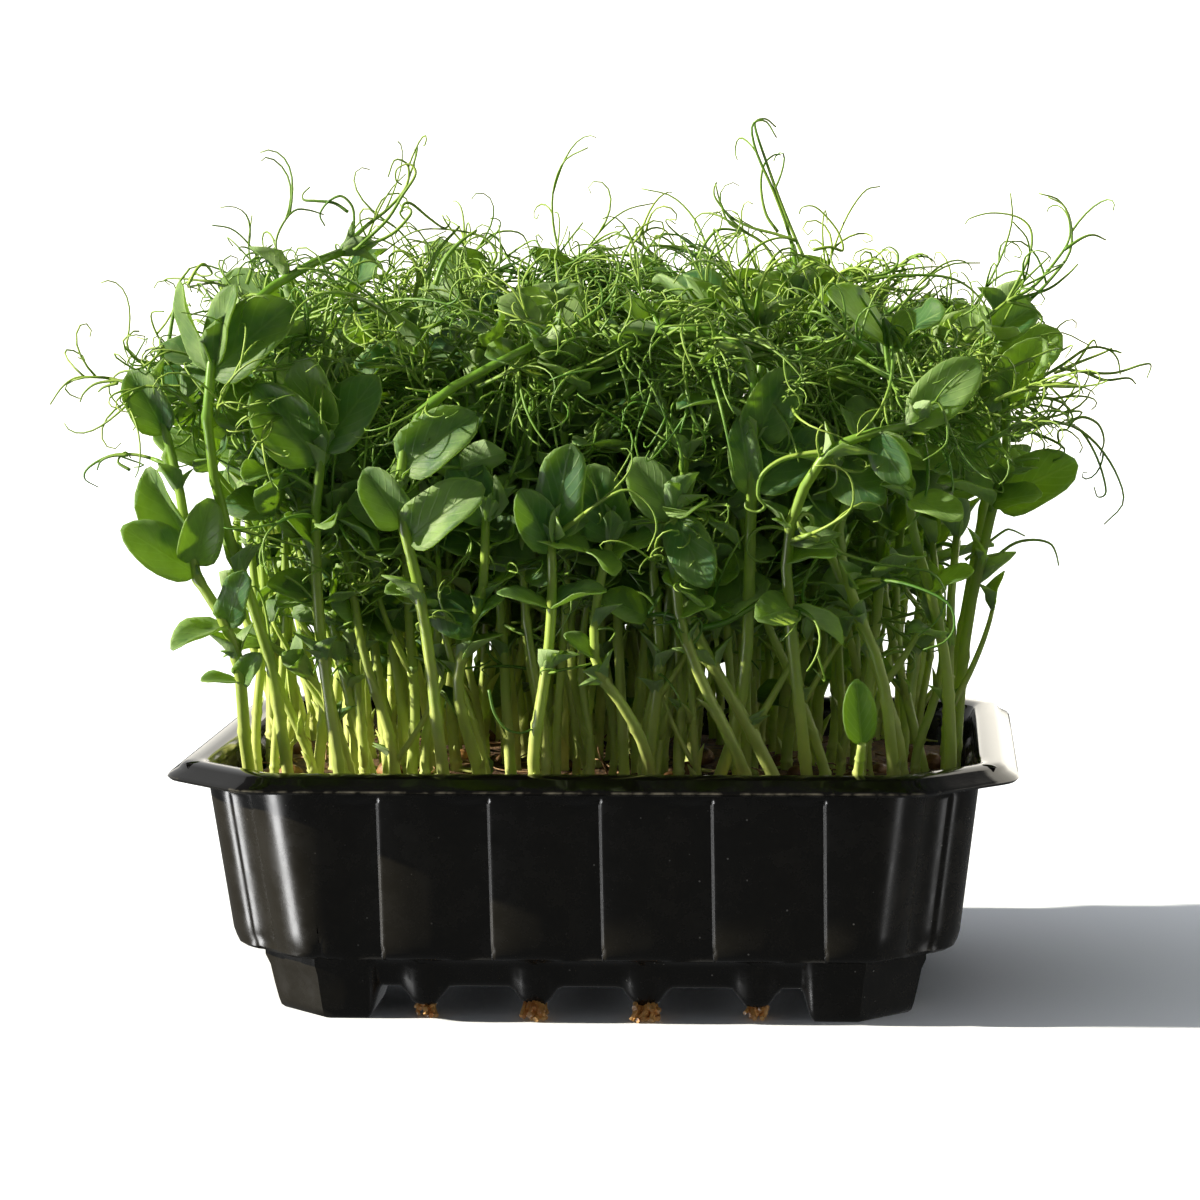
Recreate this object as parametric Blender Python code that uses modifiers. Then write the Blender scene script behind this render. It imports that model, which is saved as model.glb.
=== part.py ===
"""Pea shoot microgreens growing in a black punnet tray.

The tray is a thin formed sheet with fluted walls, a ledge, four hollow feet
and a corrugated base with drain holes. A mat of coir and roots fills it, and
every leafy stem stands in its own plain hole in that mat.
Lengths in the layout below are millimetres, and MM turns them into metres.
"""

import math
import random

import bmesh
import bpy
import numpy as np
from mathutils import Matrix, Vector

MM = 0.001

# Tray
SHEET = 0.9
RIM_HEIGHT = 57.0
RIM_HALF = (93.5, 68.5)
RIM_FLAT = 4.2
SKIRT_OUT = 3.2
SKIRT_DROP = 3.4
WALL_TOP_HALF = (84.7, 61.2)
WALL_FOOT_HALF = (80.6, 56.4)
LEDGE_HEIGHT = 15.0
LEDGE_HALF = (73.5, 50.5)
FOOT_FLOOR_HALF = (69.5, 46.8)
FOOT_INNER = (49.5, 26.0)
FOOT_DRAFT = 3.0
FRONT_CHAMFER = 21.0
REAR_CHAMFER = 9.0
WALL_CHAMFER = (18.0, 12.0)
LEDGE_CHAMFER = (15.0, 11.0)
FOOT_CHAMFER = 13.0
FLUTE_PITCH = 24.2
FLUTE_HALF = 5.6
FLUTE_SIDE = 1.2
FLUTE_DEPTH = 1.5
RIDGE_UNDERSIDE = 7.0
VALLEY_UNDERSIDE = 3.0
CORRUGATION_LINES = (39.6, 33.6, 27.4, 21.4, 15.2, 9.2, 3.0)
VALLEY_BANDS = ((9.2, 15.2), (33.6, 39.6))
SIDE_RECESS = 1.6

# Growing mat
MAT_TOP = 49.0
MAT_BOTTOM = 8.3
MAT_LEVELS = (
    ((67.2, 44.6), 13.0, MAT_BOTTOM),
    ((69.4, 46.2), 13.0, 15.9),
    ((77.6, 53.3), 18.5, 16.3),
    ((81.4, 57.8), 18.5, MAT_TOP),
)
HOLE_DEPTH = 11.0
HOLE_GAP = 0.35
HOLE_SIDES = 5
HOLE_CENTRE_Y = 43.2
SEED_RADIUS = 3.4
SEED_COUNT = 9
SEEN_SEEDS = ((-70.0, -22.0, 50.0), (18.0, -36.0, 51.0), (-58.0, -8.0, 50.0))
FRONT_STRANDS = 4
REAR_STRANDS = 2

# Shoots
STEM_SIDES = 5
STEM_STEPS = 5
STEM_RADIUS = (1.75, 1.0)
VINE_SIDES = 3
VINE_RADIUS = 0.52
STALK_RADIUS = 0.85
LEAF_POINTS = 7
LEAF_THICKNESS = 0.6
LEAF_LENGTH = (17.0, 23.0)
LEAF_WIDTH = 0.68
LEAF_BASE_LIFT = 0.018
LEAF_SINK = 0.1
CURL_STEPS = 5
REACH_X = 118.0
REACH_Y = 71.0
TOP_HEIGHT = 197.5
GRID_COLUMNS = 6
GRID_ROWS = 4
CLEARANCE = 0.35
SEAM_EDGES = (0.15, 0.08, 0.03)
SEED = 41


for leftover in list(bpy.data.objects):
    bpy.data.objects.remove(leftover, do_unlink=True)


def make_collection(name, hidden=False):
    collection = bpy.data.collections.new(name)
    bpy.context.scene.collection.children.link(collection)
    collection.hide_render = hidden
    return collection


parts = make_collection("pea_shoot_tray")
guides = make_collection("cutters", hidden=True)


def make_material(name, colour, roughness):
    material = bpy.data.materials.new(name)
    material.use_nodes = True
    shader = material.node_tree.nodes["Principled BSDF"]
    shader.inputs["Base Color"].default_value = (*colour, 1.0)
    shader.inputs["Roughness"].default_value = roughness
    shader.inputs["Metallic"].default_value = 0.0
    return material


black_plastic = make_material("tray_plastic", (0.012, 0.011, 0.010), 0.32)
coir_mat = make_material("growing_mat", (0.13, 0.075, 0.035), 0.9)
leaf_green = make_material("pea_green", (0.10, 0.26, 0.035), 0.45)


def add_object(name, mesh, collection, material=None):
    created = bpy.data.objects.new(name, mesh)
    collection.objects.link(created)
    if material:
        mesh.materials.append(material)
    return created


def mesh_from_bmesh(bm, name):
    mesh = bpy.data.meshes.new(name)
    bm.to_mesh(mesh)
    bm.free()
    return mesh


# Tray sheet

def corner_points(half, cut, sign_x, sign_y):
    """The middle of a chamfered corner and its two ends, along X and along Y."""
    middle = (sign_x * (half[0] - cut / 2), sign_y * (half[1] - cut / 2))
    on_x = (sign_x * (half[0] - cut), sign_y * half[1])
    on_y = (sign_x * half[0], sign_y * (half[1] - cut))
    return middle, on_x, on_y


def flute_stops(count):
    """Places along a wall and how deep each lies, for that many flutes."""
    stops = []
    for k in range(count):
        centre = (k - (count - 1) / 2) * FLUTE_PITCH
        stops.append((centre - FLUTE_HALF, 0.0))
        stops.append((centre - FLUTE_HALF + FLUTE_SIDE, 1.0))
        stops.append((centre + FLUTE_HALF - FLUTE_SIDE, 1.0))
        stops.append((centre + FLUTE_HALF, 0.0))
    return stops


def blend(a, b, share):
    return tuple(p + (q - p) * share for p, q in zip(a, b))


def outline(half, cuts, height, depth=0.0):
    """A chamfered rectangle with flutes, counter-clockwise from the front left corner."""
    front, rear = cuts
    fl, fl_x, fl_y = corner_points(half, front, -1, -1)
    fr, fr_x, fr_y = corner_points(half, front, 1, -1)
    rr, rr_x, rr_y = corner_points(half, rear, 1, 1)
    rl, rl_x, rl_y = corner_points(half, rear, -1, 1)
    long_stops = flute_stops(5)
    short_stops = flute_stops(3)
    points = [fl, blend(fl, fl_x, 0.7), fl_x]
    points += [(x, -half[1] + depth * d) for x, d in long_stops]
    points += [fr_x, blend(fr, fr_x, 0.7), fr, fr_y]
    points += [(half[0] - depth * d, y) for y, d in short_stops]
    points += [rr_y, rr, blend(rr, rr_x, 0.7), rr_x]
    points += [(-x, half[1] - depth * d) for x, d in long_stops]
    points += [rl_x, blend(rl, rl_x, 0.7), rl, rl_y]
    points += [(-half[0] + depth * d, -y) for y, d in short_stops]
    points += [fl_y]
    return [Vector((x, y, height)) for x, y in points]


def side_lines(bands):
    return [-value for value in bands] + list(reversed(bands))


def base_height(x, y, in_foot):
    """Middle of the sheet over the foot floors, the ridges and the valleys."""
    if in_foot:
        return SHEET / 2
    for low, high in VALLEY_BANDS:
        if low - 0.1 <= abs(x) <= high + 0.1:
            return VALLEY_UNDERSIDE + SHEET / 2
    return RIDGE_UNDERSIDE + SHEET / 2


def base_grid():
    """Rows of points for the base, from its edge at the ledge inwards."""
    inner_x = FOOT_INNER[0]
    inner_y = FOOT_INNER[1]
    lines_x = [LEDGE_HALF[0], LEDGE_HALF[0] - 1.2, FOOT_FLOOR_HALF[0], LEDGE_HALF[0] - FOOT_CHAMFER]
    lines_x += [inner_x, inner_x - FOOT_DRAFT, *CORRUGATION_LINES]
    lines_y = [LEDGE_HALF[1], LEDGE_HALF[1] - 1.2, FOOT_FLOOR_HALF[1], LEDGE_HALF[1] - FOOT_CHAMFER]
    lines_y += [inner_y, inner_y - FOOT_DRAFT, 12.0, 4.0]
    ring_height = (LEDGE_HEIGHT - 1.0, LEDGE_HEIGHT - 3.0)
    ring_cut = (FOOT_CHAMFER, FOOT_CHAMFER - 0.6, FOOT_CHAMFER - 2.5)
    columns = side_lines(lines_x)
    rows = side_lines(lines_y)
    grid = []
    for j, y in enumerate(rows):
        row = []
        from_y = min(j, len(rows) - 1 - j)
        for i, x in enumerate(columns):
            from_x = min(i, len(columns) - 1 - i)
            ring = min(from_x, from_y)
            sign_x = -1 if x < 0 else 1
            sign_y = -1 if y < 0 else 1
            px, py = x, y
            if ring < 3 and from_x <= 3 and from_y <= 3:
                half = (lines_x[ring], lines_y[ring])
                middle, on_x, on_y = corner_points(half, ring_cut[ring], sign_x, sign_y)
                along_x = from_x >= from_y
                end = on_x if along_x else on_y
                step = (from_x if along_x else from_y) - ring
                px, py = blend(middle, end, step / (3 - ring))
            in_foot = 2 <= from_x <= 4 and 2 <= from_y <= 4
            if ring < 2:
                height = ring_height[ring]
            else:
                height = base_height(x, y, in_foot)
            if ring in (1, 2) and from_x > 5 - (ring == 2) and from_y == ring:
                py -= sign_y * SIDE_RECESS / ring
            if ring in (1, 2) and from_y > 5 - (ring == 2) and from_x == ring:
                px -= sign_x * SIDE_RECESS / ring
            if from_y == 3 and from_x > 5:
                py = sign_y * (FOOT_FLOOR_HALF[1] - SIDE_RECESS / 2 - 5.6)
            row.append(Vector((px, py, height)))
        grid.append(row)
    return grid


def build_tray():
    bm = bmesh.new()
    skirt_half = (RIM_HALF[0] - 0.2, RIM_HALF[1] - 0.2)
    edge_half = (RIM_HALF[0] - SKIRT_OUT, RIM_HALF[1] - SKIRT_OUT)
    inner_half = (edge_half[0] - RIM_FLAT, edge_half[1] - RIM_FLAT)
    rim_top = RIM_HEIGHT - SHEET / 2
    rim_cuts = (FRONT_CHAMFER, REAR_CHAMFER)
    levels = [
        outline(skirt_half, rim_cuts, RIM_HEIGHT - SKIRT_DROP),
        outline(edge_half, (FRONT_CHAMFER - 1, REAR_CHAMFER - 1), rim_top - 0.2),
        outline(inner_half, (FRONT_CHAMFER - 3, REAR_CHAMFER - 1), rim_top),
        outline(WALL_TOP_HALF, WALL_CHAMFER, 50.6),
        outline((WALL_TOP_HALF[0] - 0.4, WALL_TOP_HALF[1] - 0.4), WALL_CHAMFER, 47.4, FLUTE_DEPTH),
        outline(WALL_FOOT_HALF, WALL_CHAMFER, LEDGE_HEIGHT + 2.2, FLUTE_DEPTH),
        outline((WALL_FOOT_HALF[0] - 1.6, WALL_FOOT_HALF[1] - 1.6), LEDGE_CHAMFER, LEDGE_HEIGHT),
    ]
    rings = [[bm.verts.new(point) for point in level] for level in levels]
    grid = [[bm.verts.new(point) for point in row] for row in base_grid()]
    border = list(grid[0])
    border += [row[-1] for row in grid[1:]]
    border += list(reversed(grid[-1][:-1]))
    border += [row[0] for row in reversed(grid[1:-1])]
    rings.append(border)
    for outer, inner in zip(rings, rings[1:]):
        for k in range(len(outer)):
            following = (k + 1) % len(outer)
            bm.faces.new((outer[k], outer[following], inner[following], inner[k]))
    last_row = len(grid) - 1
    for j in range(last_row):
        for i in range(len(grid[0]) - 1):
            corners = (grid[j][i], grid[j][i + 1], grid[j + 1][i + 1], grid[j + 1][i])
            middle = sum((corner.co for corner in corners), Vector()) / 4
            in_valley = any(low < abs(middle.x) < high for low, high in VALLEY_BANDS)
            if in_valley and j in (2, last_row - 3):
                continue
            bm.faces.new(corners)
    bmesh.ops.recalc_face_normals(bm, faces=bm.faces)
    bmesh.ops.scale(bm, vec=(MM, MM, MM), verts=bm.verts)
    tray = add_object("tray", mesh_from_bmesh(bm, "tray"), parts, black_plastic)
    sheet = tray.modifiers.new("sheet", "SOLIDIFY")
    sheet.thickness = SHEET * MM
    sheet.offset = 0.0
    sheet.use_even_offset = True
    return tray


build_tray()


# Shapes that repeat

def ring_profile(name, sides):
    """A closed polygon of unit radius, swept along a curve as its section."""
    data = bpy.data.curves.new(name, "CURVE")
    spline = data.splines.new("POLY")
    spline.points.add(sides - 1)
    for k, point in enumerate(spline.points):
        angle = 2 * math.pi * k / sides
        point.co = (math.cos(angle), math.sin(angle), 0.0, 1.0)
    spline.use_cyclic_u = True
    return add_object(name, data, guides)


def tube_mesh(name, points, radii, profile):
    """A tube along the points, as a closed mesh with its end caps welded."""
    data = bpy.data.curves.new(name, "CURVE")
    data.dimensions = "3D"
    data.bevel_mode = "OBJECT"
    data.bevel_object = profile
    data.use_fill_caps = True
    spline = data.splines.new("POLY")
    spline.points.add(len(points) - 1)
    for point, place, radius in zip(spline.points, points, radii):
        point.co = (*(place * MM), 1.0)
        point.radius = radius * MM
    path = add_object(name, data, guides)
    bpy.context.view_layer.update()
    graph = bpy.context.evaluated_depsgraph_get()
    mesh = bpy.data.meshes.new_from_object(path.evaluated_get(graph))
    bpy.data.objects.remove(path, do_unlink=True)
    bm = bmesh.new()
    bm.from_mesh(mesh)
    bmesh.ops.remove_doubles(bm, verts=bm.verts, dist=0.00002)
    bmesh.ops.recalc_face_normals(bm, faces=bm.faces)
    bm.to_mesh(mesh)
    bm.free()
    return mesh


def leaf_template():
    """An oval, pointed and cupped blade: length along Y, width along X, from a filled circle."""
    bm = bmesh.new()
    bmesh.ops.create_circle(bm, cap_ends=True, cap_tris=True, segments=LEAF_POINTS, radius=0.5)
    for vert in bm.verts:
        x, y = vert.co.x, 0.5 - vert.co.y
        taper = 1.0 - 0.28 * max(0.0, y - 0.45)
        centre = math.hypot(vert.co.x, vert.co.y) < 0.01
        lift = -0.05 if centre else 0.45 * x * x - 0.2 * (y - 0.3) ** 2 + LEAF_BASE_LIFT
        vert.co = Vector((x * taper, y, lift))
    mesh = mesh_from_bmesh(bm, "leaf")
    return mesh


def leaf_mesh(template, leaf):
    """The template laid from the leaf's base to its tip, then given its thickness."""
    bm = bmesh.new()
    bm.from_mesh(template)
    size = Matrix.Diagonal((leaf["width"], leaf["length"], leaf["length"], 1.0))
    bm.transform(leaf["frame"] @ size)
    bmesh.ops.recalc_face_normals(bm, faces=bm.faces)
    bmesh.ops.solidify(bm, geom=bm.faces[:] + bm.edges[:] + bm.verts[:], thickness=LEAF_THICKNESS)
    bmesh.ops.recalc_face_normals(bm, faces=bm.faces)
    bmesh.ops.scale(bm, vec=(MM, MM, MM), verts=bm.verts)
    return mesh_from_bmesh(bm, "leaf")


def tidy_seams(mesh):
    """Closes up the shortest edges that the union leaves along its seams, where the skin stays closed."""
    for shortest in SEAM_EDGES:
        bm = bmesh.new()
        bm.from_mesh(mesh)
        bmesh.ops.triangulate(bm, faces=bm.faces)
        bmesh.ops.dissolve_degenerate(bm, dist=shortest * MM, edges=bm.edges)
        bmesh.ops.triangulate(bm, faces=bm.faces)
        sound = all(edge.is_manifold for edge in bm.edges) and all(vert.is_manifold for vert in bm.verts)
        if sound:
            bm.to_mesh(mesh)
        bm.free()
        if sound:
            return


def fuse(name, meshes, material, collection=parts, operation="UNION"):
    """One closed body from the first mesh and the others, joined by one Boolean."""
    body = add_object(name, meshes[0], collection, material)
    if len(meshes) > 1:
        others = make_collection(name + "_pieces", hidden=True)
        for k, mesh in enumerate(meshes[1:]):
            add_object(f"{name}_piece_{k:02d}", mesh, others)
        joint = body.modifiers.new("join", "BOOLEAN")
        joint.operation = operation
        joint.operand_type = "COLLECTION"
        joint.collection = others
        joint.solver = "EXACT"
        bpy.context.view_layer.update()
        graph = bpy.context.evaluated_depsgraph_get()
        joined = bpy.data.meshes.new_from_object(body.evaluated_get(graph))
        body.modifiers.clear()
        body.data = joined
        tidy_seams(joined)
        for piece in list(others.objects):
            bpy.data.objects.remove(piece, do_unlink=True)
        bpy.data.collections.remove(others)
    return body


# Layout of the shoots

def smooth_path(points, count):
    """Points of even share along a smooth curve through the given ones."""
    places = [Vector(p) for p in points]
    ends = [places[0] * 2 - places[1], *places, places[-1] * 2 - places[-2]]
    path = []
    for k in range(count + 1):
        at = k / count * (len(places) - 1)
        span = min(int(at), len(places) - 2)
        t = at - span
        a, b, c, d = ends[span:span + 4]
        path.append(0.5 * (2 * b + (c - a) * t + (2 * a - 5 * b + 4 * c - d) * t ** 2
                           + (3 * b - a - 3 * c + d) * t ** 3))
    return path


def leaf_between(base, tip, width, facing):
    """A leaf from base to tip whose upper face turns towards the facing direction."""
    base, tip = Vector(base), Vector(tip)
    along = tip - base
    length = along.length
    along.normalize()
    normal = Vector(facing) - along * Vector(facing).dot(along)
    normal.normalize()
    across = along.cross(normal)
    frame = Matrix((across, along, normal)).transposed().to_4x4()
    frame.translation = base
    return {"frame": frame, "length": length, "width": width, "base": base, "tip": tip,
            "across": across, "along": along, "normal": normal}


def leaf_cover(leaf):
    """Balls that together cover a leaf, for keeping others clear of it."""
    balls = []
    for across, along in ((0, 0.1), (-0.28, 0.36), (0.28, 0.36), (0, 0.5), (-0.24, 0.7), (0.24, 0.7), (0, 0.93)):
        place = leaf["base"] + leaf["along"] * (along * leaf["length"])
        place = place + leaf["across"] * (across * leaf["width"])
        balls.append((*place, 0.155 * leaf["length"] + CLEARANCE))
    return balls


def tube_cover(points, radius, skip=0.0):
    """Balls along a path, leaving out its first stretch."""
    balls = []
    gone = 0.0
    for a, b in zip(points, points[1:]):
        length = (b - a).length
        steps = max(1, int(length / 2.5))
        for k in range(steps):
            place = a.lerp(b, (k + 0.5) / steps)
            if gone + length * (k + 0.5) / steps >= skip:
                balls.append((*place, radius + CLEARANCE + 0.6))
        gone += length
    return balls


class Thicket:
    """What is already placed, as balls with the shoot that each belongs to."""

    def __init__(self):
        self.balls = np.zeros((0, 4))
        self.owner = np.zeros(0, int)

    def clear(self, balls, owner):
        mine = np.array(balls)
        others = self.balls[self.owner != owner]
        if not len(others):
            return True
        gap = np.linalg.norm(mine[:, None, :3] - others[None, :, :3], axis=2)
        return bool((gap > mine[:, None, 3] + others[None, :, 3]).all())

    def inside(self, balls):
        mine = np.array(balls)
        high = mine[:, 2] + mine[:, 3]
        low = mine[:, 2] - mine[:, 3]
        near_rim = low < RIM_HEIGHT + 3
        over_tray = (np.abs(mine[:, 0]) < 82) & (np.abs(mine[:, 1]) < 58)
        return bool((np.abs(mine[:, 0]) < REACH_X).all() and (np.abs(mine[:, 1]) < REACH_Y).all()
                    and (high < TOP_HEIGHT).all() and (~near_rim | over_tray).all())

    def add(self, balls, owner):
        self.balls = np.vstack([self.balls, np.array(balls)])
        self.owner = np.concatenate([self.owner, np.full(len(balls), owner)])


# Shoots seen along the front and the edges: stem path, leaves and tendrils in millimetres.
# A leaf is base, tip, width and the way that its face turns.
FRONT = (-0.1, -1.0, 0.25)
UPWARD = (-0.2, -0.5, 0.9)
DRAWN_SHOOTS = [
    {"stem": [(-67, -40, 49), (-68, -46, 66), (-70, -51, 84), (-76, -55, 104), (-80, -58, 124), (-80, -60, 142),
              (-75, -56, 155), (-62, -48, 165), (-53, -41, 169)],
     "leaves": [((-77, -60, 142), (-61, -62, 160), 15, FRONT), ((-80, -61, 146), (-74, -65, 164), 9, (-0.8, -1, 0.2)),
                ((-83, -58, 145), (-89, -56, 164), 9, (-1, -0.6, 0))],
     "tendrils": [[(-54, -42, 169), (-48, -36, 175), (-42, -34, 180), (-39, -34, 186), (-42, -34, 189), (-44, -34, 185)],
                  [(-64, -49, 163), (-67, -47, 171), (-63, -45, 178), (-57, -43, 177)]]},
    {"stem": [(-77, -33, 49), (-76, -47, 64), (-75, -55, 76), (-77, -58, 88), (-84, -58, 100), (-87, -56, 115),
              (-90, -53, 127), (-93, -51, 136)],
     "leaves": [((-85, -59, 99), (-99, -66, 112), 12, (0.1, -1, 0.6)), ((-87, -56, 106), (-95, -61, 124), 11, (-0.5, -1, 0.2)),
                ((-84, -59, 102), (-79, -65, 117), 10, (0.3, -1, 0.3)), ((-76, -60, 89), (-89, -67, 86), 9, UPWARD),
                ((-75, -59, 90), (-72, -66, 102), 8, FRONT), ((-75, -57, 75), (-83, -62, 78), 7, UPWARD),
                ((-74, -56, 76), (-70, -62, 83), 6, FRONT), ((-91, -53, 130), (-99, -54, 145), 10, FRONT)],
     "tendrils": [[(-94, -51, 137), (-101, -47, 141), (-109, -45, 142), (-114, -45, 141), (-118, -45, 136)],
                  [(-88, -54, 122), (-96, -51, 125), (-104, -50, 125), (-110, -50, 121), (-107, -48, 118)]]},
    {"stem": [(-31, -48, 49), (-32, -54, 64), (-33, -58, 80), (-35, -61, 97), (-38, -63, 112), (-38, -64, 125),
              (-33, -64, 136), (-22, -61, 143), (-8, -57, 150)],
     "leaves": [((-37, -65, 123), (-21, -69, 136), 13, FRONT), ((-37, -66, 107), (-20, -70, 121), 12, (0.2, -1, 0.5)),
                ((-39, -65, 110), (-46, -67, 124), 10, FRONT)],
     "tendrils": [[(-9, -58, 149), (0, -58, 154), (7, -57, 160), (8, -56, 168), (2, -56, 170)]]},
    {"stem": [(-11, -51, 49), (-11, -57, 61), (-9, -60, 72), (-7, -62, 84), (-6, -63, 97), (-6, -64, 108)],
     "leaves": [((-6, -65, 108), (-1, -69, 130), 12, FRONT), ((-7, -65, 105), (-12, -70, 120), 10, (0.3, -1, 0.1)),
                ((-6, -64, 93), (-18, -67, 98), 6, UPWARD), ((-6, -64, 93), (6, -67, 99), 6, UPWARD)],
     "tendrils": [[(-5, -64, 108), (3, -68, 115), (11, -70, 119), (17, -70, 113), (15, -70, 106)]]},
    {"stem": [(-54, -48, 49), (-56, -51, 68), (-58, -53, 90), (-58, -55, 112), (-56, -56, 128), (-54, -55, 142)],
     "leaves": [((-58, -57, 124), (-71, -61, 142), 15, FRONT), ((-56, -57, 129), (-60, -62, 148), 13, (-0.3, -1, 0)),
                ((-54, -57, 126), (-43, -61, 144), 13, FRONT), ((-57, -55, 106), (-64, -59, 114), 8, UPWARD)],
     "tendrils": [[(-54, -55, 141), (-56, -52, 153), (-52, -50, 164), (-45, -49, 167), (-42, -49, 161)]]},
    {"stem": [(-23, -42, 49), (-26, -47, 62), (-28, -51, 74), (-26, -53, 84), (-22, -54, 96), (-21, -55, 112)],
     "leaves": [((-25, -55, 88), (-17, -59, 96), 7, UPWARD), ((-26, -54, 92), (-40, -50, 93), 8, UPWARD),
                ((-21, -56, 110), (-27, -58, 127), 12, FRONT)],
     "tendrils": [[(-21, -55, 111), (-15, -53, 122), (-11, -51, 134), (-4, -51, 138), (-3, -52, 131)]]},
    {"stem": [(14, -46, 49), (13, -51, 60), (9, -55, 70), (3, -58, 80), (3, -58, 93), (6, -57, 107)],
     "leaves": [((5, -59, 104), (16, -62, 109), 10, UPWARD), ((5, -59, 107), (2, -62, 125), 13, FRONT),
                ((3, -58, 82), (-4, -60, 88), 6, UPWARD)],
     "tendrils": [[(6, -57, 106), (12, -56, 119), (19, -56, 131), (26, -57, 134), (26, -58, 127)]]},
    {"stem": [(36, -45, 49), (32, -52, 62), (26, -55, 75), (21, -57, 90), (20, -60, 104), (20, -60, 114)],
     "leaves": [((21, -62, 113), (28, -67, 97), 11, FRONT), ((20, -61, 112), (11, -64, 126), 11, FRONT),
                ((21, -57, 91), (29, -60, 95), 7, UPWARD)],
     "tendrils": [[(20, -60, 113), (22, -60, 124), (18, -60, 134), (11, -60, 137), (9, -61, 131)]]},
    {"stem": [(27, -38, 49), (32, -44, 64), (35, -49, 83), (36, -55, 108), (37, -58, 132), (36, -58, 146),
              (28, -56, 152), (16, -54, 152)],
     "leaves": [((36, -59, 116), (34, -62, 135), 8, FRONT), ((38, -57, 118), (53, -58, 131), 13, FRONT),
                ((37, -58, 128), (46, -60, 145), 12, (0.2, -1, 0.2))],
     "tendrils": [[(17, -54, 152), (13, -48, 160), (10, -45, 169), (16, -44, 174), (20, -44, 169)]]},
    {"stem": [(48, -41, 49), (47, -46, 62), (45, -52, 84), (44, -59, 106), (49, -65, 121), (57, -67, 129), (70, -65, 132)],
     "leaves": [((70, -65, 132), (86, -63, 147), 12, FRONT), ((63, -67, 130), (70, -69, 119), 9, (-0.2, -1, -0.3)),
                ((45, -60, 102), (55, -63, 106), 8, UPWARD)],
     "tendrils": [[(44, -60, 107), (51, -66, 110), (58, -69, 115), (57, -70, 123), (50, -70, 124)],
                  [(69, -65, 132), (76, -66, 137), (78, -68, 129), (73, -69, 125)]]},
    {"stem": [(58, -51, 49), (59, -55, 56), (60, -62, 64)],
     "leaves": [((60, -62, 63), (59, -67, 79), 8, (0.1, -1, 0.3))],
     "tendrils": []},
    {"stem": [(67, -41, 49), (66, -46, 62), (64, -50, 78), (58, -52, 94), (55, -52, 108), (58, -52, 118)],
     "leaves": [((58, -53, 115), (65, -56, 129), 11, FRONT), ((55, -53, 105), (47, -55, 116), 9, UPWARD)],
     "tendrils": [[(57, -53, 97), (66, -62, 99), (78, -68, 95), (79, -69, 88), (73, -69, 85)]]},
    {"stem": [(79, -33, 49), (79, -36, 62), (78, -40, 78), (75, -45, 93), (71, -52, 108), (70, -58, 117)],
     "leaves": [((70, -59, 115), (82, -66, 113), 10, (0, -0.6, 1)), ((75, -47, 95), (84, -52, 101), 9, UPWARD),
                ((77, -43, 84), (70, -50, 88), 7, UPWARD)],
     "tendrils": []},
    {"stem": [(80, -15, 49), (81, -19, 66), (83, -24, 86), (87, -29, 106), (91, -32, 124), (91, -33, 138)],
     "leaves": [((90, -33, 112), (107, -36, 123), 13, FRONT), ((92, -35, 134), (99, -39, 150), 12, FRONT),
                ((88, -32, 116), (82, -40, 130), 12, FRONT)],
     "tendrils": [[(92, -31, 127), (100, -26, 130), (108, -22, 128), (114, -20, 121), (117.5, -20, 113), (113, -20, 107)],
                  [(84, -25, 95), (93, -23, 103), (101, -22, 103), (103, -22, 98)]]},
    {"stem": [(78, 6, 49), (80, 4, 68), (84, 2, 92), (88, 1, 116), (90, 0, 136), (91, 0, 152)],
     "leaves": [((91, -1, 138), (104, -6, 150), 13, FRONT), ((90, 0, 140), (82, 6, 156), 12, (-0.3, -0.6, 0.6)),
                ((87, 1, 112), (98, 2, 122), 11, FRONT)],
     "tendrils": [[(91, 0, 151), (99, 0, 158), (106, 0, 167), (105, 0, 177), (99, 0, 180)],
                  [(90, 0, 134), (101, 2, 139), (110, 2, 145), (116, 2, 144), (117.5, 2, 139)]]},
    {"stem": [(40, 6, 49), (42, 5, 75), (44, 3, 104), (45, 1, 132), (45, 0, 158)],
     "leaves": [((45, 1, 150), (57, -4, 163), 13, UPWARD), ((45, 0, 152), (34, -6, 162), 13, UPWARD)],
     "tendrils": [[(45, 0, 157), (43, 0, 171), (38, 0, 184), (34, 0, 194), (37, 0, 197), (40, 0, 193)],
                  [(45, 1, 155), (37, 1, 169), (29, 1, 174), (26, 1, 183)]]},
]


def drawn_shoot(number, drawing, thicket):
    """A shoot with its given stem, leaves and tendrils."""
    path = smooth_path(drawing["stem"], max(STEM_STEPS, len(drawing["stem"]) - 1))
    shoot = {"stem": path, "leaves": [], "vines": []}
    for base, tip, width, facing in drawing["leaves"]:
        root = nearest_on(path, Vector(base))
        root = root - (Vector(tip) - root).normalized() * LEAF_SINK / 2
        shoot["leaves"].append(leaf_between(root, tip, width, facing))
    for points in drawing["tendrils"]:
        vine = smooth_path(points, CURL_STEPS + 1)
        vine[0] = nearest_on(path, vine[0])
        shoot["vines"].append(vine)
    keep_place(number, shoot, thicket)
    return shoot


def nearest_on(path, place):
    """The point of a path that lies nearest to a place."""
    found = []
    for a, b in zip(path, path[1:]):
        share = (place - a).dot(b - a) / (b - a).length_squared
        found.append(a.lerp(b, min(1.0, max(0.0, share))))
    return min(found, key=lambda p: (p - place).length)


def keep_place(number, shoot, thicket):
    thicket.add(tube_cover(shoot["stem"], STEM_RADIUS[0]), number)
    for leaf in shoot["leaves"]:
        thicket.add(leaf_cover(leaf), number)
    for vine in shoot["vines"]:
        thicket.add(tube_cover(vine, VINE_RADIUS), number)


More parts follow.
